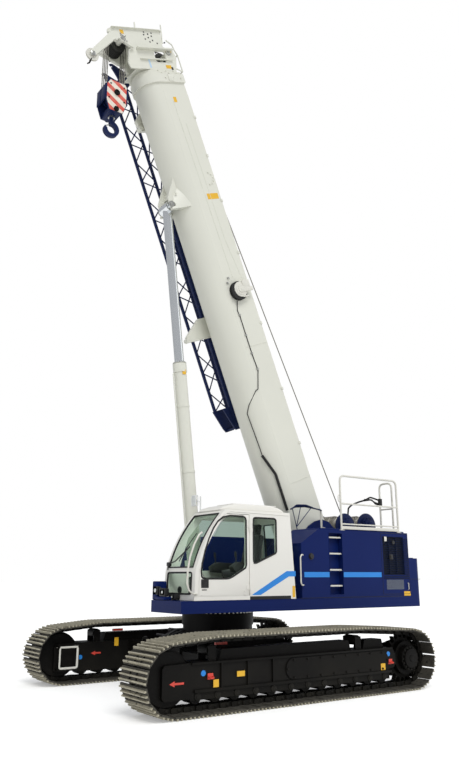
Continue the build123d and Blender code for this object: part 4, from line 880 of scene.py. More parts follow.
    def roof(self):
        lid = plate([(-0.62, 3.128), (-0.55, 3.185), (-0.44, 3.225), (-0.25, 3.255), (0.42, 3.258), (0.62, 3.235),
                     (0.79, 3.185), (0.86, 3.128)], 0.58, 1.34, bevel=0.03, segments=4)
        rib = block((-0.5, 0.7, 3.25), (0.5, 1.22, 3.268), 0.016, 3)
        done(join([lid, rib]), "cab_roof_cap", "upper", *CAB)
        gutter = tube([(-0.62, CAB_Y1 + 0.003, 3.08), (0.72, CAB_Y1 + 0.003, 3.1), (0.86, CAB_Y1 + 0.003, 3.03),
                       (1.0, CAB_Y1 + 0.003, 2.93)], 0.008, 0.05)
        done(gutter, "cab_gutter", "upper", *CAB)
        post = block((1.485, 0.447, 1.592), (1.69, 0.6, 1.905), 0.02, 3)
        shelf = block((1.56, 0.58, 1.595), (1.7, 0.895, 1.65), 0.012, 2)
        done(join([post, shelf]), "corner_box", "upper", *BLUE,
             replaces=["cab_fittings"])
        shells = []
        for y0, y1, z0, z1, x0, x1 in ((0.47, 0.63, 1.68, 1.82, 1.61, 1.69), (0.7, 0.89, 1.66, 1.79, 1.6, 1.69),
                                       (0.8, 1.01, 1.606, 1.69, 1.452, 1.56)):
            shells.append(block((x0, y0, z0), (x1, y1, z1), 0.02, 3))
            shells.append(block((x1 - 0.03, y0 - 0.004, z0 - 0.004), (x1, y1 + 0.004, z1 + 0.004), 0.006))
        done(join(shells), "deck_lamps", "upper", *MOULDED)
        lenses = [turned((1.688, 0.55, 1.75), (1, 0, 0), [(0, 0.036), (0.008, 0.032), (0.012, 0.02)], 24),
                  turned((1.688, 0.795, 1.725), (1, 0, 0), [(0, 0.026), (0.008, 0.022), (0.012, 0.014)], 24),
                  turned((1.556, 0.905, 1.648), (1, 0, 0), [(0, 0.02), (0.008, 0.018), (0.012, 0.01)], 20),
                  block((0.945, 0.54, 3.26), (0.958, 0.66, 3.42), 0.006, 2)]
        done(join(lenses), "lamp_lenses", "upper", "lamp_lens", "tinted_glass")
        frame_bars = [tube([(0.9, y, 3.25), (0.9, y, 3.43), (0.95, y, 3.43), (0.95, y, 3.25)], 0.01, 0.02,
                           closed=True)
                      for y in (0.535, 0.665)]
        frame_bars += [tube([(x, 0.535, z), (x, 0.665, z)], 0.01) for x in (0.9, 0.95) for z in (3.25, 3.43)]
        frame_bars += [tube([(0.8, 0.6, 3.13), (0.8, 0.6, 3.43)], 0.014, sides=3),
                       tube([(0.8, 0.6, 3.33), (0.9, 0.6, 3.33)], 0.01),
                       block((0.76, 0.56, 3.128), (0.84, 0.64, 3.14), 0.004)]
        done(join(frame_bars), "roof_lamp", "upper", "lamp_shell_white", "cab_paint")

    def wipers(self):
        arm = tube([(arc_x(2.2) + 0.03, 0.52, 2.2), (arc_x(2.26) + 0.03, 0.72, 2.24),
                    (arc_x(2.49) + 0.02, 1.04, 2.49)],
                   0.011, 0.04)
        blade = tube([(arc_x(z) + 0.012, 0.84 + 0.42 * (z - 2.24), z) for z in [2.24 + 0.08 * i for i in range(7)]],
                     0.008)
        motor = block((arc_x(2.2) - 0.02, 0.46, 2.16), (arc_x(2.2) + 0.035, 0.56, 2.23), 0.012, 2)
        link = tube([(arc_x(2.2) + 0.02, 0.5, 2.19), (1.47, 0.6, 2.1)], 0.01)
        done(join([arm, blade, motor, link]), "wiper", "upper", *MOULDED)


def cushion(lo, hi, bulge):
    """Upholstered block: bevelled, its middle swollen, with a soft edge."""
    item = block(lo, hi, min(hi[i] - lo[i] for i in range(3)) * 0.28, 4)
    modify(item, "SUBSURF", levels=2, render_levels=2)
    middle = [(a + b) / 2 for a, b in zip(lo, hi)]
    span = [(b - a) / 2 for a, b in zip(lo, hi)]
    for vertex in item.data.vertices:
        near = [1 - ((vertex.co[i] - middle[i]) / span[i]) ** 2 for i in (0, 1)]
        vertex.co.z += bulge * max(near[0], 0) * max(near[1], 0) * (1 if vertex.co.z > middle[2] else 0)
    return item


class CRANE_OT_cab_inside(CraneOperator, bpy.types.Operator):
    """Seat, consoles, levers, front panel and pedals seen through the panes"""

    bl_idname = "crane.cab_inside"
    bl_label = "Cab inside"

    def execute(self, context):
        x, y, z = 0.15, 0.95, 1.655
        base = [block((x - 0.2, y - 0.2, z), (x + 0.2, y + 0.2, z + 0.06), 0.01)]
        for i in range(5):
            base.append(block((x - 0.17, y - 0.17, z + 0.06 + i * 0.045),
                              (x + 0.17, y + 0.17, z + 0.095 + i * 0.045),
                              0.012))
        base.append(block((x - 0.24, y - 0.22, z + 0.28), (x + 0.24, y + 0.22, z + 0.33), 0.012))
        done(join(base), "seat_suspension", "upper", *MOULDED, replaces=["seat"])
        squab = cushion((x - 0.26, y - 0.25, z + 0.32), (x + 0.26, y + 0.25, z + 0.45), 0.02)
        done(squab, "seat_cushion", "upper", *CLOTH, smooth=80)
        lean = shift(x - 0.27, y, z + 0.74) @ Matrix.Rotation(radians(78), 4, "Y")
        back = cushion((-0.34, -0.24, -0.055), (0.32, 0.24, 0.055), 0.02)
        done(back, "seat_back", "upper", *CLOTH, at=lean, smooth=80)
        head = cushion((-0.1, -0.15, -0.045), (0.1, 0.15, 0.045), 0.012)
        done(head, "seat_headrest", "upper", *CLOTH, smooth=80,
             at=shift(x - 0.35, y, z + 1.17) @ Matrix.Rotation(radians(80), 4, "Y"))
        items = []
        for side in (-1, 1):
            cy = y + side * 0.33
            items.append(plate([(x - 0.2, z + 0.38), (x + 0.4, z + 0.4), (x + 0.44, z + 0.5), (x + 0.3, z + 0.58),
                                (x - 0.2, z + 0.56)], cy - 0.075, cy + 0.075, bevel=0.012, segments=2))
            items.append(tube([(x + 0.32, cy, z + 0.55), (x + 0.33, cy, z + 0.68)], 0.012))
            items.append(turned((x + 0.33, cy, z + 0.66), (0.1, 0, 1), [
                (0, 0.018), (0.03, 0.024), (0.09, 0.02), (0.1, 0.01)], 16))
        items.append(plate([(0.92, 1.66), (1.0, 1.66), (1.0, 1.95), (0.93, 2.0), (0.88, 1.94)], 0.56, 0.7,
                           bevel=0.012))
        items.append(turned((1.37, 0.87, 1.76), (1, 0, 0), [(0, 0.05), (0.004, 0.06), (0.02, 0.06), (0.024, 0.035)],
                            24))
        for py in (0.86, 1.04):
            items.append(tube([(1.2, py, 1.66), (1.14, py, 1.86)], 0.012))
            items.append(block((1.1, py - 0.05, 1.84), (1.16, py + 0.05, 1.98), 0.01))
        items.append(block((-0.6, 0.52, 1.66), (-0.42, 1.38, 2.16), 0.02))
        items.append(block((-0.4, 0.56, 1.6555), (1.3, 1.34, 1.662), 0.002))
        done(join(items), "cab_controls", "upper", *MOULDED)
        return {"FINISHED"}


# ---------------------------------------------------------------- hoods, deck and handrails

DECK_Y = 1.45  # from the middle plane to the hoods' outer faces
LOUVRE_PITCH = 0.036
LOUVRES = (((-3.69, -3.07), (2.01, 2.775), DECK_Y), ((-3.8, -2.6), (1.75, 2.6), -DECK_Y))  # x, z, face
LADDER_XS = (-1.95, -1.6)
RUNG_ZS = (1.81, 2.105, 2.41, 2.717)


def gap_shade(points, y, out, closed=True):
    """A thin black line round a door or lid: painted shade in its gap."""
    return tube([(x, y + out * 0.001, z) for x, z in points], 0.004, 0.03, closed=closed, sides=1)


class CRANE_OT_hoods(CraneOperator, bpy.types.Operator):
    """Louvres, doors, ladder, stripe and plates of the hoods and the counterweight"""

    bl_idname = "crane.hoods"
    bl_label = "Hoods and deck"

    def execute(self, context):
        self.louvres()
        self.ladder()
        y = DECK_Y
        films = [plate([(x0, 1.97), (x1, 1.97), (x1, 2.065), (x0, 2.065)], y, y + 0.0015, bevel=0)
                 for x0, x1 in ((-1.59, -0.96), (-3.0, -1.96))]
        done(join(films), "hood_stripe", "upper", "vinyl_film_blue", "blue_paint")
        # Black lines in the gaps round the hood doors and lids and along the hood's foot: painted shade.
        gap_shades = [gap_shade([(-3.815, 1.64), (-3.815, 2.84), (-3.03, 2.84), (-3.03, 1.64)], y, 1),
                  gap_shade([(-2.15, 1.64), (-2.15, 2.66), (-1.1, 2.66), (-1.1, 1.64)], -y, -1),
                  gap_shade([(-1.0, 1.64), (-1.0, 2.5), (0.05, 2.3), (0.05, 1.64)], -y, -1)]
        gap_shades.append(gap_shade([(-4.14, 1.93), (-3.835, 1.93)], y, 1, closed=False))
        gap_shades.append(gap_shade([(-3.83, 1.6), (-0.85, 1.6)], y + 0.003, 1, closed=False))
        done(join(gap_shades), "door_seams", "upper", "epdm_rubber", "blue_paint")
        x, z = -3.3, 2.37
        latches = [block((x - 0.05, y, z - 0.05), (x + 0.05, y + 0.012, z + 0.05), 0.01, 3),
                   block((x - 0.03, y + 0.01, z - 0.03), (x + 0.03, y + 0.024, z + 0.03)),
                   turned((-3.39, y, 2.66), (0, 1, 0), [(0, 0.04), (0.008, 0.038), (0.01, 0.02)], 20)]
        done(join(latches), "hood_latches", "upper", *HOOD_PLASTIC)
        cap = turned((-1.14, y, 2.35), (0, 1, 0), [(0, 0.062), (0.006, 0.062), (0.006, 0.05), (0.03, 0.048),
                                                   (0.036, 0.04)], 28)
        done(cap, "filler_cap", "upper", *HOOD_PLASTIC)
        pull = tube([(-3.76, y, 1.73), (-3.76, y + 0.02, 1.73), (-3.76, y + 0.02, 1.85), (-3.76, y, 1.85)], 0.008,
                    0.01)
        tag = block((-3.2, y, 2.68), (-3.13, y + 0.003, 2.77), 0.001)
        done(join([pull, tag]), "hood_pull", "upper", *CREAM)
        film = plate([(-3.82, 1.6), (-3.63, 1.6), (-3.63, 1.69), (-3.82, 1.69)], y, y + 0.002, bevel=0)
        done(film, "hood_plates", "upper", "vinyl_film_yellow", "blue_paint")
        lids = [
            plate([(-3.78, 2.858), (-3.76, 2.89), (-1.4, 2.89), (-1.37, 2.858)], 0.6, 1.41, bevel=0.01, segments=2),
            plate([(-3.78, 2.748), (-3.76, 2.78), (-0.2, 2.78), (-0.17, 2.748)], -1.41, -0.6, bevel=0.01,
                  segments=2),
            block((-3.9, -1.452, 1.575), (0.118, -1.44, 1.592), 0.004),
            block((-3.83, 1.44, 1.575), (1.64, 1.452, 1.592), 0.004),
            plate([(-4.0, 2.35), (-4.0, 2.366), (-4.14, 2.366), (-4.14, 2.35)], -1.3, 1.3, bevel=0.004),
        ]
        done(join(lids), "hood_lids", "upper", *BLUE)
        eyes = [join([block((-4.0, sy - 0.02, 2.349), (-3.88, sy + 0.02, 2.39), 0.01),
                      tube([(-3.99, sy, 2.38), (-3.97, sy, 2.45), (-3.91, sy, 2.45), (-3.89, sy, 2.38)], 0.016,
                           0.03)])
                for sy in (-0.9, 0.9)]
        done(join(eyes), "counterweight_eyes", "upper", *BLUE)
        self.deck()
        return {"FINISHED"}

    def louvres(self):
        items, shade_sheets = [], []
        for (x0, x1), (z0, z1), y in LOUVRES:
            out = 1 if y > 0 else -1
            # A black sheet just behind each louvre: painted shade of the hood's inside.
            shade_sheets.append(on_face(x0, x1, y - out * 0.05, out * 0.002, z0, z1, 0))
            count = round((z1 - z0) / LOUVRE_PITCH)
            step = (z1 - z0) / count
            blade = plate([(y - out * 0.03, 0.01), (y - out * 0.008, -0.012), (y - out * 0.006, -0.009),
                           (y - out * 0.028, 0.014)], x0 + 0.01, x1 - 0.01, across="X", bevel=0)
            items.append(copies(blade, [shift(0, 0, z0 + (i + 0.5) * step) for i in range(count)]))
            items.append(tube([(x0 + 0.008, y - out * 0.012, z0 + 0.008), (x1 - 0.008, y - out * 0.012, z0 + 0.008),
                               (x1 - 0.008, y - out * 0.012, z1 - 0.008),
                               (x0 + 0.008, y - out * 0.012, z1 - 0.008)],
                              0.01, closed=True))
            if out > 0:
                for x in (x0 + 0.21, x0 + 0.42):
                    items.append(block((x - 0.006, y - 0.045, z0), (x + 0.006, y - 0.008, z1), 0.002))
        for x0, x1, count in ((-3.8, -3.69, 23), (-3.69, -3.07, 2)):
            tip = DECK_Y + 0.009
            slat = plate([(DECK_Y, -0.012), (tip, -0.012), (tip, -0.004), (DECK_Y, 0.004)], x0, x1, across="X", bevel=0)
            items.append(copies(slat, [shift(0, 0, 1.95 + LOUVRE_PITCH * i) for i in range(count)]))
        # The blades' near-black finish paints the shade between them.
        done(join(items), "louvre_blades", "upper", "louvre_powder_coat", "dark_grille", replaces=["grilles"])
        # The black sheets behind the louvres are painted shade.
        done(join(shade_sheets), "louvre_backs", "upper", "moulded_abs", "dark_grille")
        x0, x1, z0, z1, y = -3.63, -3.14, 1.735, 1.915, DECK_Y
        upright = block((-0.002, y, z0), (0.002, y + 0.004, z1), 0)
        level = block((x0, y, -0.002), (x1, y + 0.004, 0.002), 0)
        mesh = join([copies(upright, [shift(x0 + (x1 - x0) * i / 30) for i in range(31)]),
                     copies(level, [shift(0, 0, z0 + (z1 - z0) * i / 10) for i in range(11)])])
        done(mesh, "hood_mesh", "upper", "galvanised_mesh", "dark_grille")

    def ladder(self):
        x0, x1 = LADDER_XS
        rungs = [tube([(x0, 1.395, z), (x1, 1.395, z)], 0.017, sides=3) for z in RUNG_ZS]
        treads = [block((x0 + 0.01, 1.36, z - 0.012), (x1 - 0.01, 1.43, z + 0.006), 0.004) for z in RUNG_ZS]
        done(join(rungs + treads), "ladder_rungs", "upper", *CREAM,
             replaces=["ladder"])
        lip = tube([(x0, 1.448, 1.65), (x1, 1.448, 1.65), (x1, 1.448, 2.8), (x0, 1.448, 2.8)], 0.008, closed=True)
        done(lip, "ladder_lip", "upper", *BLUE)

    def deck(self):
        treads = []
        for x0, x1, y0, y1, z in ((-1.3, 0.1, -0.55, -0.46, 1.592), (0.16, 0.9, -0.42, 0.42, 1.452)):
            treads.append(block((x0, y0, z), (x1, y1, z + 0.004), 0))
        done(join(treads), "deck_treads", "upper", "chassis_enamel_black", "blue_paint")
        bolts = [(x, 0.447, z) for x, z in ((-0.9, 1.7), (-0.5, 1.68), (-2.1, 2.95), (-2.6, 2.86), (-2.35, 3.1),
                                            (-2.15, 2.75), (-2.55, 2.7))]
        done(bolt_heads(bolts, (0, 1, 0), 0.03, 0.018), "support_bolts", "upper", *BLUE)
        caps = [turned((FOOT_PIN[0], side * 0.47, FOOT_PIN[2]), (0, side, 0),
                       [(0, 0.12), (0.012, 0.118), (0.012, 0.06), (0.026, 0.055), (0.03, 0.04)], 32)
                for side in (-1, 1)]
        done(join(caps), "foot_pin_caps", "upper", "machined_steel", "rod_chrome")


class CRANE_OT_handrails(CraneOperator, bpy.types.Operator):
    """Bent-tube handrails with their flanged feet"""

    bl_idname = "crane.handrails"
    bl_label = "Handrails"

    def execute(self, context):
        r = sizes().rail_tube / 2
        items = []
        x0, x1, y, base, top = -1.98, -3.6, 1.42, 2.862, 3.94
        items.append(tube([(x0, y, base), (x0, y, top), (x1, y, top), (x1, y, base)], r, 0.12, sides=4, steps=6))
        items.append(tube([(x0, y, 3.385), (x1, y, 3.385)], r * 0.8, sides=4))
        items.append(tube([(x0 - 0.02, y, 2.985), (x1, y, 2.985)], r * 0.7, sides=3))
        items.append(block((x1, y - 0.006, 2.885), (x0, y + 0.006, 2.945), 0.003))
        x, y0, y1, top = -3.68, 1.22, 0.87, 3.93
        items.append(tube([(x, y0, base), (x, y0, top), (x, y1, top), (x, y1, base)], r, 0.12, sides=4, steps=6))
        items.append(tube([(x, y0, 3.38), (x, y1, 3.38)], r * 0.8, sides=4))
        items.append(tube([(x0 + 0.005, y, 3.42), (x0 + 0.06, y, 3.42), (x0 + 0.06, y, 3.54), (x0 + 0.02, y, 3.56)],
                          0.009, 0.03))
        feet = [(x0, y), (x1, y), (x, y0), (x, y1)]
        for fx, fy in feet:
            items.append(block((fx - 0.05, fy - 0.035, base - 0.002), (fx + 0.05, fy + 0.035, base + 0.01), 0.004))
        done(join(items), "handrail_tubes", "upper", *CREAM,
             replaces=["handrails"])
        bolts = [(fx + dx, fy, base + 0.01) for fx, fy in feet for dx in (-0.037, 0.037)]
        done(bolt_heads(bolts, (0, 0, 1), 0.018, 0.01), "handrail_bolts", "upper", "machined_steel", "rail_paint")
        stub = tube([(-2.19, 0.6, 2.885), (-2.19, 0.6, 3.33)], 0.022, sides=4)
        done(stub, "deck_post", "upper", *CREAM)
        return {"FINISHED"}


# ---------------------------------------------------------------- winches and ropes

DRUM_R = 0.2
FALL_YS = (-0.12, -0.04, 0.04, 0.12)
WINCHES = {"main_winch": (-3.72, 3.06), "aux_winch": (-3.07, 3.03)}
HEAD = (11.15, -1.0)
IDLER = (10.9, 0.09)


def helix(y0, y1, radius, turns, steps=20):
    count = int(turns * steps)
    return [(radius * cos(2 * pi * i / steps), y0 + (y1 - y0) * i / count, radius * sin(2 * pi * i / steps))
            for i in range(count + 1)]


class CRANE_OT_winches(CraneOperator, bpy.types.Operator):
    """Rope drums with their wraps, planetary drives and the hoist rope up the boom"""

    bl_idname = "crane.winches"
    bl_label = "Winches and hoist rope"

    def execute(self, context):
        rope = sizes().rope
        for body, (x, z) in WINCHES.items():
            drum = turned((x, -0.4, z), (0, 1, 0), [
                (0, 0.26), (0.004, 0.28), (0.02, 0.28), (0.024, 0.275), (0.024, DRUM_R), (0.776, DRUM_R),
                (0.776, 0.275), (0.78, 0.28), (0.796, 0.28), (0.8, 0.26)], 48)
            done(drum, body + "_flanges", body, "polyurethane_enamel_navy", "winch_paint",
                 replaces=[body + "_drum"])
            turns = 0.74 / (rope * 1.06)
            wraps = tube(helix(-0.37, 0.37, DRUM_R + rope * 0.5, turns), rope / 2, sides=1)
            second = tube(helix(-0.36, 0.1, DRUM_R + rope * 1.4, 0.46 / (rope * 1.06)), rope / 2, sides=1)
            done(join([wraps, second]), body + "_rope", body, *ROPE, at=shift(x, 0, z))
            drives = []
            for side in (-1, 1):
                drives.append(turned((x, side * 0.445, z), (0, side, 0), [
                    (0, 0.19), (0.02, 0.188), (0.02, 0.15), (0.07, 0.145), (0.075, 0.1), (0.13, 0.095),
                    (0.14, 0.06)], 32))
                drives.append(bolt_heads(ring_of((x, side * 0.465, z), 0.17, 10), (0, side, 0), 0.022, 0.012))
            done(join(drives), body + "_drive", "upper", "polyurethane_enamel_navy", "winch_paint")
        self.hoist_rope(rope / 2)
        self.hose()
        return {"FINISHED"}

    def hoist_rope(self, r):
        """The rope up the boom in three parts, then over the upper idler and down to the head sheaves."""
        leave, arrive = Vector((-0.3473, 0, 1.1113)), Vector((10.9136, 0, 0.2718))
        line = arrive - leave
        low_end = (sqrt(1.4 ** 2 - leave.length_squared + (leave.dot(line) / line.length) ** 2)
                   - leave.dot(line) / line.length) / line.length
        high_end = (10.35 - leave.x) / line.x
        parts = (("low", 0.0, low_end, "hoist_rope_low"), ("boom", low_end, high_end, "hoist_rope"),
                 ("head", high_end, 1.0, "head_rope"))
        for name, t0, t1, node in parts:
            count = max(4, int(14 * (t1 - t0)))
            points = [tuple(leave + line * (t0 + (t1 - t0) * i / count)) for i in range(count + 1)]
            item = tube(points, r, sides=2)
            if name != "low":
                done(item, "hoist_rope_" + name, "boom_base" if name == "boom" else "boom_top", *ROPE, at=BOOM,
                     replaces=[node])
                continue
            item.matrix_world = BOOM
            settle(item)
            item.name = item.data.name = "hoist_rope_low_part"
            item.data.materials.append(bpy.data.materials["greased_wire_rope"])
            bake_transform(item)
            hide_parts(node)
        reach = 0.1785 + r
        wrap = [(reach * sin(a) + IDLER[0], 0, IDLER[1] + reach * cos(a)) for a in
                [radians(d) for d in range(4, 81, 8)]]
        tail = tube(wrap + [(HEAD[0] + 0.17, 0.0, -0.7), (HEAD[0] + 0.2, 0.04, -0.98)], r, sides=2)
        done(tail, "hoist_rope_over_head", "boom_top", *ROPE, at=BOOM)

    def hose(self):
        """Winch hoses up to their clamp on the rear rail, and the hose bundle on its guide."""
        path = [(-3.2, 0.35, 3.2), (-3.21, 0.35, 3.33), (-3.18, 0.4, 3.43), (-3.24, 0.45, 3.5), (-3.36, 0.55, 3.56),
                (-3.46, 0.65, 3.6), (-3.55, 0.71, 3.66), (-3.62, 0.79, 3.62), (-3.67, 0.87, 3.58)]
        items = [tube(path, 0.018, 0.06, sides=3)]
        items += [tube([(-3.42, 0.62 + k, 3.58 + k), (-3.54, 0.73 + k, 3.6), (-3.62, 0.79, 3.54 - k),
                        (-3.68, 0.87, 3.5 - k)],
                       0.014, 0.05, sides=3) for k in (0.0, 0.03)]
        items.append(block((-3.72, 0.84, 3.46), (-3.64, 0.9, 3.62), 0.01, 2))
        done(join(items), "winch_hose", "upper", *RUBBER)
        guide = []
        for k in range(3):
            y = 0.6 + 0.02 * k
            guide.append(tube([(-1.36, y, 3.3), (-1.5, y, 3.35 + 0.02 * k), (-1.75, y, 3.37 + 0.015 * k),
                               (-1.95, y, 3.35), (-2.17, y, 3.33 - 0.01 * k)], 0.013, 0.06, sides=3))
        for x, z in ((-1.4, 3.31), (-1.62, 3.36), (-1.9, 3.35)):
            guide.append(tube([(x, 0.62, z), (-1.5, 0.62, 2.95), (-1.5, 0.64, 2.885)], 0.008, 0.03, sides=2))
        done(join(guide), "hose_guide", "upper", *NAVY)


# ---------------------------------------------------------------- boom

BOOM_HALF, BOOM_TOP_N = 0.4, 0.2
CABLE_ON_BELLY = [(3.28, 0.4, -0.5), (3.02, 0.275, -0.71), (2.87, 0.21, -0.765), (2.1, 0.236, -0.745),
                  (1.87, 0.24, -0.745)]
CONDUIT = [(1.95, 0.24, -0.75), (1.5, 0.35, -0.645), (0.72, 0.35, -0.64)]
COLLARS = [  # body, start and end along the boom, half width, top
    ("boom_base", 10.15, 10.34, 0.43, 0.23),
    ("boom_second", 10.345, 10.41, 0.39, 0.19),
    ("boom_third", 10.415, 10.48, 0.35, 0.15),
]


class CRANE_OT_boom(CraneOperator, bpy.types.Operator):
    """Weld lines, clamps, pad screws, cable reel and plates of the boom's sections"""

    bl_idname = "crane.boom"
    bl_label = "Boom details"

    def execute(self, context):
        side = BOOM_HALF
        lines = [tube([(9.75, side + 0.001, -0.24), (5.72, side + 0.001, -0.17)], 0.005, sides=1),
                 tube([(9.22, side + 0.001, -0.09), (6.55, side + 0.001, -0.05), (5.62, side + 0.001, 0.08)], 0.004,
                      sides=1),
                 tube([(0.6, side - 0.002, -0.42), (10.14, side - 0.002, -0.42)], 0.003, sides=1)]
        lines += [tube([(s, side - 0.02, 0.2), (s, side + 0.003, 0.19), (s, side + 0.003, -0.4)], 0.004, sides=1)
                  for s in (1.2, 4.2)]
        done(join(lines), "boom_welds", "boom_base", *IVORY, at=BOOM)
        clamps = []
        for s in (1.9, 3.12, 4.6, 6.2, 7.4, 8.43, 9.32):
            clamps.append(block((s, side - 0.06, BOOM_TOP_N - 0.002), (s + 0.07, side + 0.012, BOOM_TOP_N + 0.03),
                                0.006))
            clamps.append(block((s + 0.015, side, BOOM_TOP_N - 0.03), (s + 0.055, side + 0.014, BOOM_TOP_N + 0.02),
                                0.004))
        pipe = tube([(1.5, side - 0.03, BOOM_TOP_N + 0.02), (9.9, side - 0.03, BOOM_TOP_N + 0.02)], 0.01)
        done(join(clamps + [pipe]), "boom_clamps", "boom_base", *IVORY, at=BOOM)
        for body, s0, s1, half, top in COLLARS:
            self.collar(body, s0, s1, half, top)
        film = block((7.48, side, -0.15), (7.61, side + 0.002, 0.15), 0)
        small = block((9.7, side, -0.22), (9.82, side + 0.002, -0.14), 0)
        done(join([film, small]), "boom_plates", "boom_base", *YELLOW, at=BOOM)
        self.reel()
        self.wedge_details()
        return {"FINISHED"}

    def collar(self, body, s0, s1, half, top):
        screws = []
        for side in (-1, 1):
            spots = [((s0 + s1) / 2, side * half, n) for n in (top - 0.1, top - 0.3, top - 0.5)]
            screws.append(bolt_heads(spots, (0, side, 0), 0.03, 0.016))
        spots = [((s0 + s1) / 2, y, top) for y in (-half * 0.6, half * 0.6)]
        screws.append(bolt_heads(spots, (0, 0, 1), 0.03, 0.016))
        if body == "boom_base":
            for side in (-1, 1):
                lo, hi = sorted((side * half, side * (half + 0.012)))
                screws.append(block((s0 + 0.02, lo, -0.2), (s1 - 0.02, hi, -0.06), 0.006))
            screws.append(bolt_heads([(7.95 + 0.14 * cos(a), half - 0.03, 0.02 + 0.14 * sin(a)) for a in
                                      [radians(20 + 32 * i) for i in range(6)]], (0, 1, 0), 0.03, 0.014))
        done(join(screws), body + "_pad_screws", body, *IVORY, at=BOOM)

    def reel(self):
        """Cable reel with its drum of cable, pale cover, bracket, the cable down the boom and its conduit."""
        s, n, y = 5.4, -0.17, BOOM_HALF
        rim = turned((s, y + 0.01, n), (0, 1, 0), [(0, 0.19), (0.004, 0.204), (0.014, 0.204), (0.016, 0.185),
                                                   (0.07, 0.185), (0.072, 0.204), (0.082, 0.204), (0.084, 0.12)],
                     48)
        cable = tube([(s + x, y + yy, n + z) for x, yy, z in helix(0.028, 0.078, 0.188, 5, 32)], 0.006, sides=1)
        line = [(s - 0.2, y + 0.03, n - 0.1), (5.0, 0.41, -0.33), (4.88, 0.41, -0.31), (4.03, 0.41, -0.31),
                (3.67, 0.41, -0.29), (3.28, 0.41, -0.45)]
        hose = tube(line + CABLE_ON_BELLY, 0.009, 0.06)
        done(join([rim, cable, hose]), "reel_body", "boom_base", *RUBBER, at=BOOM,
             replaces=["cable_reel"])
        done(tube(CONDUIT, 0.03, 0.2, sides=3), "cable_conduit", "boom_base", *RUBBER, at=BOOM)
        clips = [block((cs - 0.02, y - 0.002, cn - 0.03), (cs + 0.02, y + 0.022, cn + 0.03), 0.004)
                 for cs, cn in ((4.9, -0.31), (4.45, -0.31), (4.05, -0.31), (3.7, -0.29), (5.72, -0.3),
                                (5.62, -0.36))]
        done(join(clips), "cable_clips", "boom_base", *STEEL, at=BOOM)
        disc = turned((s + 0.02, y + 0.094, n + 0.04), (0, 1, 0),
                      [(0, 0.168), (0.01, 0.165), (0.014, 0.13), (0.02, 0.125),
                       (0.024, 0.08), (0.034, 0.075)], 40)
        box = block((s + 0.02, y, n + 0.1), (s + 0.2, y + 0.13, n + 0.3), 0.012, 2)
        arm = block((s - 0.05, y + 0.1, n + 0.02), (s + 0.04, y + 0.135, n + 0.34), 0.01, 2)
        ears = [block((s + ds, y, n + 0.05), (s + ds + 0.03, y + 0.1, n + 0.2), 0.006) for ds in (0.17, -0.16)]
        done(join([disc, box, arm] + ears), "reel_cover", "boom_base", "polyurethane_enamel_cream", "boom_paint",
             at=BOOM)

    def wedge_details(self):
        bits = []
        for side in (-1, 1):
            for s, n, y in ((7.7, -0.85, 0.255), (8.05, -0.66, 0.262)):
                lo, hi = sorted((side * y, side * (y + 0.02)))
                bits.append(block((s, lo, n), (s + 0.05, hi, n + 0.04), 0.005))
        done(join(bits), "wedge_clamps", "boom_base", *IVORY, at=BOOM)
        caps = [turned((7.5, side * 0.222, -0.98), (0, side, 0), [
            (0, 0.085), (0.012, 0.083), (0.012, 0.045), (0.03, 0.04)], 28) for side in (-1, 1)]
        done(join(caps), "rod_pin_caps", "boom_base", *STEEL, at=BOOM)


def belly_outline(half, low, top):
    """Section of the boom across Y and Z: flat top and sides, half-round belly about the given height."""
    arc = [(-half * cos(pi * i / 20), low - half * sin(pi * i / 20)) for i in range(21)]
    return [(-half, top)] + arc + [(half, top)]


def sheave(radius, width):
    """Turned sheave with a round-bottomed groove, dished web and hub, lying round the Y axis."""
    w, r = width / 2, radius
    profile = [(-w, r - 0.06), (-w, r - 0.004), (-w + 0.006, r), (-w * 0.55, r - 0.002), (-w * 0.3, r - 0.028),
               (w * 0.3, r - 0.028), (w * 0.55, r - 0.002), (w - 0.006, r), (w, r - 0.004), (w, r - 0.06),
               (w * 0.4, r - 0.075), (w * 0.4, 0.085), (w, 0.08), (w, 0.057)]
    back = [(-w, r - 0.06), (-w * 0.4, r - 0.075), (-w * 0.4, 0.085), (-w, 0.08), (-w, 0.057)]
    item = turned((0, 0, 0), (0, 1, 0), profile, 48)
    rear = turned((0, 0, 0), (0, 1, 0), back, 48)
    return join([item, rear])


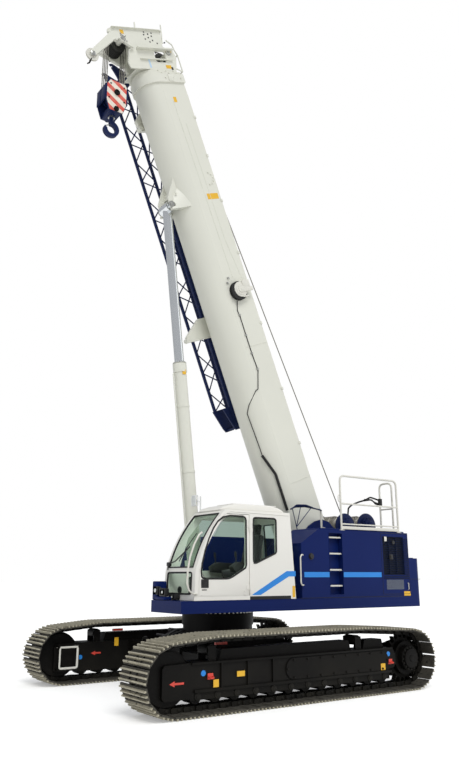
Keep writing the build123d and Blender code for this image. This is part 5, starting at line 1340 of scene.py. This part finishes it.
class CRANE_OT_head(CraneOperator, bpy.types.Operator):
    """Sheaves, pins, plates and bolts of the boom head"""

    bl_idname = "crane.head"
    bl_label = "Boom head"

    def execute(self, context):
        s, n = HEAD
        wheels = [copies(sheave(0.183, 0.05), [shift(s, y, n) for y in FALL_YS])]
        wheels.append(copies(sheave(0.168, 0.06), [shift(IDLER[0], 0, IDLER[1])]))
        done(join(wheels), "sheaves", "boom_top", "grey_iron", "sheave_iron", at=BOOM, replaces=["head_sheaves"])
        caps = []
        for side in (-1, 1):
            for cs, cn, r in ((s, n, 0.085), (IDLER[0], IDLER[1], 0.07)):
                caps.append(turned((cs, side * 0.33, cn), (0, side, 0),
                                   [(0, r), (0.012, r - 0.003), (0.012, r * 0.5), (0.024, r * 0.45)], 28))
            caps.append(bolt_heads(ring_of((s, side * 0.33, n), 0.115, 6), (0, side, 0), 0.024, 0.014))
        caps.append(turned((10.7, 0.424, -1.88), (0, 1, 0), [(0, 0.06), (0.012, 0.056), (0.02, 0.03)], 24))
        done(join(caps), "head_pin_caps", "boom_top", *STEEL, at=BOOM)
        side_wheel = copies(sheave(0.138, 0.04), [shift(10.7, 0.378, -1.88)])
        done(side_wheel, "side_sheave", "boom_top", "polyurethane_enamel_cream", "sheave_iron", at=BOOM)
        self.frame_plates()
        head = 10.485
        dots = [(head + 0.686, y, z) for y in (-0.26, 0.26) for z in (-0.6, -0.4, -0.2, 0.0, 0.14)]
        dots += [(head + 0.686, y, 0.14) for y in (-0.13, 0, 0.13)]
        items = [bolt_heads(dots, (1, 0, 0), 0.03, 0.014)]
        ribs = [(head + 0.471, side * 0.375, z) for side in (-1, 1) for z in (-0.66, -0.4, -0.14, 0.12)]
        items.append(bolt_heads(ribs, (1, 0, 0), 0.026, 0.012))
        done(join(items), "head_bolts", "boom_top", "forged_steel_link", "boom_paint", at=BOOM)
        film = block((10.52, 0.33, -0.5), (10.74, 0.3325, -0.46), 0)
        done(film, "head_plates", "boom_top", "vinyl_film_pale", "boom_paint", at=BOOM)
        tans = [block((11.26, 0.33, -1.0), (11.35, 0.3325, -0.91), 0),
                block((10.9, 0.33, 0.02), (10.99, 0.3325, 0.18), 0),
                block((10.52, 0.33, -0.08), (10.6, 0.3325, 0.06), 0)]
        done(join(tans), "head_tans", "boom_top", *YELLOW, at=BOOM)
        guard = []
        for side in (-1, 1):
            guard.append(tube([(10.47, side * 0.315, 0.345), (10.86, side * 0.315, 0.345),
                               (10.97, side * 0.315, 0.3),
                               (11.1, side * 0.315, 0.28), (11.2, side * 0.315, 0.15)], 0.014, 0.05, sides=3))
            guard.append(tube([(10.47, side * 0.315, 0.345), (10.55, side * 0.315, 0.17)], 0.014, sides=3))
        guard.append(tube([(10.475, -0.315, 0.345), (10.475, 0.315, 0.345)], 0.014, sides=3))
        guard.append(tube([(10.86, -0.315, 0.345), (10.86, 0.315, 0.345)], 0.014, sides=3))
        done(join(guard), "head_guard", "boom_top", *IVORY, at=BOOM)
        claw = [tube([(10.6, 0.33, -1.95), (10.52, 0.378, -2.0), (10.5, 0.378, -2.06)], 0.012, 0.03),
                tube([(10.6, 0.42, -1.95), (10.54, 0.378, -1.98), (10.5, 0.378, -2.06)], 0.012, 0.03)]
        done(join(claw), "aux_rope_guide", "boom_top", "chassis_enamel_black", "boom_paint", at=BOOM)
        return {"FINISHED"}

    def frame_plates(self):
        """The top section's tube and collar, and the cheeks with their flanges, posts, shafts and side arm."""
        half, low, top = 0.28, -0.4, 0.08
        items = [plate(belly_outline(half, low, top), 0.66, 10.6, across="X", bevel=0),
                 plate(belly_outline(half + 0.03, low, top + 0.03), 10.485, 10.545, across="X", bevel=0.006),
                 plate(belly_outline(half + 0.018, low, top + 0.018), 10.56, 10.58, across="X", bevel=0.004)]
        cheek = [(10.487, 0.18), (10.81, 0.285), (10.97, 0.235), (11.03, 0.0), (11.36, 0.05), (11.4, 0.01),
                 (11.385, -1.2), (11.345, -1.29), (11.26, -1.32), (10.93, -0.8), (10.88, -0.93), (10.63, -1.03),
                 (10.487, -1.0)]
        short = cheek[:9] + [(10.97, -0.82), (10.92, -0.66), (10.487, -0.64)]
        for side, outline in ((-1, short), (1, cheek)):
            inner, outer = side * 0.3, side * 0.33
            window = plate(rounded([(10.66, -0.3), (10.66, -0.02), (10.92, 0.0), (10.92, -0.28)], 0.06),
                           inner - side * 0.02,
                           outer + side * 0.02, bevel=0)
            items.append(cut(plate(rounded(outline, 0.04, 3), inner, outer, bevel=0.005), window))
            for path in (outline[4:7], outline[8:10], outline[9:12]):
                for (s0, n0), (s1, n1) in zip(path, path[1:]):
                    away = Vector((s1 - s0, n1 - n0)).normalized() * 0.006
                    items.append(plate([(s0 - away.y, n0 + away.x), (s1 - away.y, n1 + away.x),
                                        (s1 + away.y, n1 - away.x), (s0 + away.y, n0 - away.x)],
                                       outer - side * 0.01,
                                       outer + side * 0.045, bevel=0.002))
            for n in (-0.65, 0.03):
                items.append(tube([(11.12, side * 0.315, n), (11.56, side * 0.315, n + 0.11)], 0.016, sides=3))
            items.append(block((10.925, side * 0.375 - 0.045, -0.72), (10.955, side * 0.375 + 0.045, 0.2), 0.005))
            items.append(block((10.7, side * 0.35 - 0.022, -0.7), (10.72, side * 0.35 + 0.022, 0.14), 0.004))
        for s0, s1, n0, n1 in ((10.515, 10.545, -0.82, 0.17), (11.145, 11.17, -0.7, 0.0)):
            items.append(block((s0, -0.302, n0), (s1, 0.302, n1), 0.004))
        items.append(plate([(11.16, -0.72), (11.33, -0.79), (11.385, -0.95), (11.395, -0.94), (11.34, -0.775),
                            (11.165, -0.7)], -0.302, 0.302, bevel=0.002))
        for s, n, r in ((HEAD[0], HEAD[1], 0.055), (IDLER[0], IDLER[1], 0.045)):
            items.append(turned((s, -0.345, n), (0, 1, 0),
                                [(0, r - 0.005), (0.005, r), (0.685, r), (0.69, r - 0.005)], 28))
        arm = [(11.2, -1.1), (11.24, -1.28), (10.76, -1.93), (10.68, -1.93), (10.65, -1.86), (11.06, -1.24),
               (11.1, -1.08)]
        for y in (0.331, 0.4):
            items.append(plate(rounded(arm, 0.04, 3), y, y + 0.024, bevel=0.004))
        items.append(turned((10.7, 0.34, -1.88), (0, 1, 0), [(0, 0.03), (0.09, 0.03)], 20))
        items.append(tube([(11.08, 0.34, -1.2), (11.08, 0.42, -1.2)], 0.03, sides=3))
        done(join(items), "head_frame", "boom_top", *IVORY, at=BOOM,
             replaces=["boom_top"])
        # Black discs and a thin bar on the cheek, drawn for its holes and slot: painted shade.
        slots = [block((10.49, 0.331, 0.05), (10.56, 0.334, 0.1), 0.001)]
        slots += [turned((s, 0.33, n), (0, 1, 0), [(0, 0.018), (0.004, 0.016)], 12)
                  for s, n in ((11.34, -0.39), (11.3, -0.3), (11.26, -0.22), (11.28, -0.41), (11.22, -0.31),
                               (11.18, -0.4), (11.16, -0.22), (11.1, -0.12), (11.12, -0.3), (11.33, -0.2))]
        done(join(slots), "head_slots", "boom_top", "moulded_abs", "boom_paint", at=BOOM)


# ---------------------------------------------------------------- fly jib

JIB_CHORDS = ((-0.52, -0.43), (-0.9, -0.385), (-0.9, -0.74))
JIB_FOOT, JIB_START, JIB_END = 2.6, 3.1, 10.76
JIB_BAYS = 17


class CRANE_OT_jib(CraneOperator, bpy.types.Operator):
    """Stowed lattice jib: three chords, tube lacing, plated foot and fork"""

    bl_idname = "crane.jib"
    bl_label = "Fly jib"

    def execute(self, context):
        r = sizes().lacing / 2
        items = [tube([(JIB_START, y, n), (JIB_END, y, n)], 0.037, sides=4) for y, n in JIB_CHORDS]
        step = (JIB_END - JIB_START) / JIB_BAYS
        for i in range(JIB_BAYS):
            for j in range(3):
                a, b = JIB_CHORDS[j], JIB_CHORDS[(j + 1) % 3]
                if i % 2:
                    a, b = b, a
                items.append(tube([(JIB_START + i * step, *a), (JIB_START + (i + 1) * step, *b)], r, sides=2))
        (yi, ni), (yo, no), (_, nl) = JIB_CHORDS
        items.append(block((JIB_FOOT, yi - 0.035, ni - 0.18), (7.5, yi + 0.03, ni + 0.045), 0.015, 3))
        for y, n0, n1 in ((yi, nl - 0.06, ni + 0.045), (yo, nl - 0.06, no + 0.05)):
            foot = plate([(JIB_FOOT, n1 - 0.06), (JIB_FOOT + 0.06, n1 - 0.005), (JIB_FOOT + 0.52, n1),
                          (JIB_FOOT + 0.52, n0), (JIB_FOOT + 0.1, n0 + 0.13), (JIB_FOOT, n0 + 0.18)], y - 0.022,
                         y + 0.022, bevel=0.006)
            items.append(foot)
            items.append(turned((JIB_FOOT + 0.07, y - 0.04, n1 - 0.07), (0, 1, 0), [(0, 0.03), (0.08, 0.03)], 16))
            fork = plate([(JIB_END - 0.12, n1 - 0.01), (JIB_END + 0.03, n1 - 0.03), (JIB_END + 0.33, -0.82),
                          (JIB_END + 0.33, -0.9), (JIB_END + 0.03, n0), (JIB_END - 0.12, n0 + 0.02)], y - 0.022,
                         y + 0.022, bevel=0.006)
            pin = turned((JIB_END + 0.27, y - 0.05, -0.855), (0, 1, 0), [(0, 0.026), (0.1, 0.026)], 20)
            items.append(cut(fork, pin))
        items.append(block((JIB_FOOT + 0.02, yo, nl + 0.15), (JIB_FOOT + 0.06, yi, ni), 0.005))
        for n in (ni, nl):
            items.append(block((JIB_END - 0.06, yo, n - 0.03), (JIB_END - 0.01, yi, n + 0.03), 0.006))
        done(join(items), "jib_lattice", "boom_base", *NAVY, at=BOOM,
             replaces=["fly_jib"])
        beam = [block((JIB_END - 0.02, yo - 0.03, ni - 0.02), (JIB_END + 0.06, yi + 0.02, ni + 0.06), 0.01)]
        pins = [turned((s, yi + 0.035, n), (0, 1, 0), [(0, 0.03), (0.05, 0.03), (0.055, 0.02)], 16)
                for s, n in ((4.76, -0.62), (4.76, -1.05), (9.62, -0.7))]
        done(join(beam + pins), "jib_stow_pins", "boom_base", "chassis_enamel_black", "navy_paint", at=BOOM)
        return {"FINISHED"}


# ---------------------------------------------------------------- luffing cylinder

CYL_FOOT = Vector((0.46, 0, 1.75))
CYL_EYE = BOOM @ Vector((7.5, 0, -0.98))
CYL_RISE = atan2(CYL_EYE.z - CYL_FOOT.z, CYL_EYE.x - CYL_FOOT.x)
CYLINDER = Matrix.Translation(CYL_FOOT) @ Matrix.Rotation(-CYL_RISE, 4, "Y")


class CRANE_OT_cylinder(CraneOperator, bpy.types.Operator):
    """Gland, clamp bands, oil pipe and holding valve of the luffing cylinder"""

    bl_idname = "crane.cylinder"
    bl_label = "Luffing cylinder"

    def execute(self, context):
        gland = turned((4.41, 0, 0), (1, 0, 0), [(0, 0.14), (0.006, 0.138), (0.01, 0.122), (0.012, 0.118)], 40)
        bands = [turned((s, 0, 0), (1, 0, 0), [(0, 0.126), (0.004, 0.133), (0.05, 0.133), (0.054, 0.126)], 40)
                 for s in (0.9, 2.2, 3.5)]
        done(join([gland] + bands), "cylinder_gland", "luff_barrel", *IVORY,
             at=CYLINDER)
        bolts = bolt_heads([(4.42, 0.118 * cos(a), 0.118 * sin(a)) for a in [pi * i / 6 for i in range(12)]],
                           (1, 0, 0), 0.022, 0.014)
        done(bolts, "gland_bolts", "luff_barrel", *STEEL, at=CYLINDER)
        pipe = tube([(0.4, 0.0, -0.12), (0.4, 0.0, -0.165), (4.2, 0.0, -0.165), (4.2, 0.0, -0.12)], 0.014, 0.03)
        valve = block((0.3, -0.07, -0.2), (0.55, 0.07, -0.11), 0.012)
        done(join([pipe, valve]), "cylinder_pipe", "luff_barrel", *IVORY,
             at=CYLINDER)
        film = plate([(4.16, -0.03), (4.26, -0.03), (4.26, 0.05), (4.16, 0.05)], 0.132, 0.136, bevel=0)
        done(film, "cylinder_plate", "luff_barrel", *YELLOW, at=CYLINDER)
        caps = [turned((0.46, side * 0.3, 1.75), (0, side, 0),
                       [(0, 0.085), (0.01, 0.083), (0.01, 0.04), (0.02, 0.036)],
                       28) for side in (-1, 1)]
        done(join(caps), "cylinder_foot_caps", "upper", *STEEL)
        return {"FINISHED"}


# ---------------------------------------------------------------- hook block

BLOCK_X, BLOCK_Z = 2.7018, 12.8601


class CRANE_OT_hook(CraneOperator, bpy.types.Operator):
    """Falls, striped cheeks, pins and hook latch"""

    bl_idname = "crane.hook"
    bl_label = "Hook block and falls"

    def execute(self, context):
        x, z = BLOCK_X, BLOCK_Z
        r = sizes().rope / 2
        falls = [tube([(x + a * 0.1973, y, z - 0.02), (x + a * 0.1973, y, z - 1.25)], r, sides=2)
                 for y in FALL_YS for a in (-1, 1)]
        done(join(falls), "falls", "hook_block", *ROPE, replaces=["ropes"])
        cheeks = []
        outline = [(x - 0.181, z - 0.99), (x + 0.151, z - 0.99), (x + 0.218, z - 1.105), (x + 0.218, z - 1.475),
                   (x + 0.145, z - 1.69), (x - 0.145, z - 1.69), (x - 0.218, z - 1.475), (x - 0.218, z - 1.045)]
        for side in (-1, 1):
            lo, hi = sorted((side * 0.2095, side * 0.2135))
            cheeks.append(plate(outline, lo, hi, bevel=0.002))
        done(join(cheeks), "block_cheeks", "hook_block", "striped_enamel", "navy_paint")
        pins = []
        for side in (-1, 1):
            for pz, pr in ((z - 1.25, 0.062), (z - 1.64, 0.055)):
                pins.append(turned((x, side * 0.212, pz), (0, side, 0), [
                    (0, pr), (0.03, pr), (0.036, pr * 0.7), (0.03, pr * 0.5)], 28))
            spots = [(x + dx, side * 0.2135, z + dz) for dx, dz in (
                (-0.16, -1.08), (0.14, -1.08), (-0.17, -1.42), (0.17, -1.42))]
            pins.append(bolt_heads(spots, (0, side, 0), 0.024, 0.014))
        done(join(pins), "block_pins", "hook_block", "chassis_enamel_black", "navy_paint")
        weights = []
        for a in (-1, 1):
            lo, hi = sorted((x + a * 0.248, x + a * 0.258))
            weights.append(block((lo, -0.2, z - 1.45), (hi, -0.012, z - 1.12), 0.005))
            weights.append(block((lo, 0.012, z - 1.45), (hi, 0.2, z - 1.12), 0.005))
        done(join(weights), "block_end_plates", "hook_block", *NAVY)
        cz = z - 2.01
        latch = tube([(x + 0.14, 0.0, cz + 0.05), (x + 0.03, 0, cz + 0.11)], 0.012)
        nut = turned((x, 0, z - 1.74), (0, 0, 1), [(0, 0.075), (0.035, 0.075)], 6)
        done(join([latch, nut]), "hook_latch", "hook", "machined_steel", "navy_paint")
        return {"FINISHED"}


# ---------------------------------------------------------------- stage


CAMERA_PLACE = (8.105, 12.015, 2.0)
CAMERA_TURN = (105.2, 0, 145.1)  # degrees
FLOOR_DROP = 0.002  # keeps the floor clear of the shoes' undersides
LAMPS = ((1.0, 30, (-20, -40)), (0.4, 60, (75, -62)))  # share of the key lamp, angular size, turn and tilt


def floor_material():
    """Matt studio floor: plain to the lens and in reflections, shaded where the crane's shadow falls."""
    tree, shader, _ = begin("studio_floor")
    rays = add(tree, "LightPath")
    seen = add(tree, "Math", {0: rays.outputs["Is Camera Ray"], 1: rays.outputs["Is Glossy Ray"]},
               operation="MAXIMUM")
    clear = add(tree, "Math", {0: seen.outputs[0], 1: rays.outputs["Is Transmission Ray"]}, operation="MAXIMUM")
    lift = add(tree, "Math", {0: clear.outputs[0], 1: bpy.context.scene.crane_stage.floor_lift},
               operation="MULTIPLY")
    tree.links.new(lift.outputs[0], shader.inputs["Emission Strength"])
    shader.inputs["Emission Color"].default_value = (1, 1, 1, 1)
    shader.inputs["Base Color"].default_value = tuple(bpy.context.scene.crane_stage.floor) + (1,)
    shader.inputs["Roughness"].default_value = 0.9
    shader.inputs["Specular IOR Level"].default_value = 0.1


class CRANE_OT_stage(CraneOperator, bpy.types.Operator):
    """Floor, soft lamps, camera and view settings"""

    bl_idname = "crane.stage"
    bl_label = "Stage"

    def execute(self, context):
        scene = context.scene
        stage = scene.crane_stage
        floor_material()
        only()
        bpy.ops.mesh.primitive_plane_add(size=400, location=(0, 0, -FLOOR_DROP))
        floor = settle(context.object)
        floor.name = floor.data.name = "floor"
        floor.data.materials.append(bpy.data.materials["studio_floor"])
        self.world(scene, stage)
        for share, angle, (turn, tilt) in LAMPS:
            bpy.ops.object.light_add(type="SUN", location=(0, 0, 20))
            lamp = context.object
            lamp.data.energy = share * stage.key_power
            lamp.data.angle = radians(angle)
            lamp.rotation_euler = (radians(tilt), 0, radians(turn))
        bpy.ops.object.camera_add(location=CAMERA_PLACE, rotation=[radians(a) for a in CAMERA_TURN])
        camera = context.object
        camera.data.lens = stage.lens
        camera.data.sensor_width = 36
        camera.data.clip_end = 500
        scene.camera = camera
        scene.view_settings.view_transform = "Standard"
        return {"FINISHED"}

    def world(self, scene, stage):
        world = bpy.data.worlds.new("studio")
        world.use_nodes = True
        tree = world.node_tree
        tree.nodes.clear()
        rays = add(tree, "LightPath")
        plain = add(tree, "Background", {"Color": (1, 1, 1, 1), "Strength": 1.0})
        room = add(tree, "Background", {"Color": linear("#F4F6FA") + (1,), "Strength": stage.fill})
        mix = add(tree, "MixShader", {0: rays.outputs["Is Camera Ray"], 1: room.outputs[0], 2: plain.outputs[0]})
        add(tree, "OutputWorld", {"Surface": mix.outputs[0]})
        scene.world = world


class CRANE_PT_panel(bpy.types.Panel):
    """Lists the crane's operators and settings"""

    bl_label = "Crane"
    bl_space_type = "VIEW_3D"
    bl_region_type = "UI"
    bl_category = "Crane"

    def draw(self, context):
        for group in (context.scene.crane_colours, context.scene.crane_sizes, context.scene.crane_stage):
            for key in group.__annotations__:
                self.layout.prop(group, key)
        for kind in OPERATORS:
            self.layout.operator(kind.bl_idname)


OPERATORS = (CRANE_OT_finishes, CRANE_OT_tracks, CRANE_OT_crawlers, CRANE_OT_carbody, CRANE_OT_cab,
             CRANE_OT_cab_inside, CRANE_OT_hoods, CRANE_OT_handrails, CRANE_OT_winches, CRANE_OT_boom,
             CRANE_OT_head,
             CRANE_OT_jib, CRANE_OT_cylinder, CRANE_OT_hook, CRANE_OT_stage)
CLASSES = (CraneColours, CraneSizes, CraneStage) + OPERATORS + (CRANE_PT_panel,)


def register():
    for kind in CLASSES:
        bpy.utils.register_class(kind)
    bpy.types.Scene.crane_colours = bpy.props.PointerProperty(type=CraneColours)
    bpy.types.Scene.crane_sizes = bpy.props.PointerProperty(type=CraneSizes)
    bpy.types.Scene.crane_stage = bpy.props.PointerProperty(type=CraneStage)


def unregister():
    del bpy.types.Scene.crane_colours
    del bpy.types.Scene.crane_sizes
    del bpy.types.Scene.crane_stage
    for kind in reversed(CLASSES):
        bpy.utils.unregister_class(kind)


def main():
    register()
    for kind in OPERATORS:
        getattr(bpy.ops.crane, kind.bl_idname.split(".")[1])()


if __name__ == "__main__":
    main()
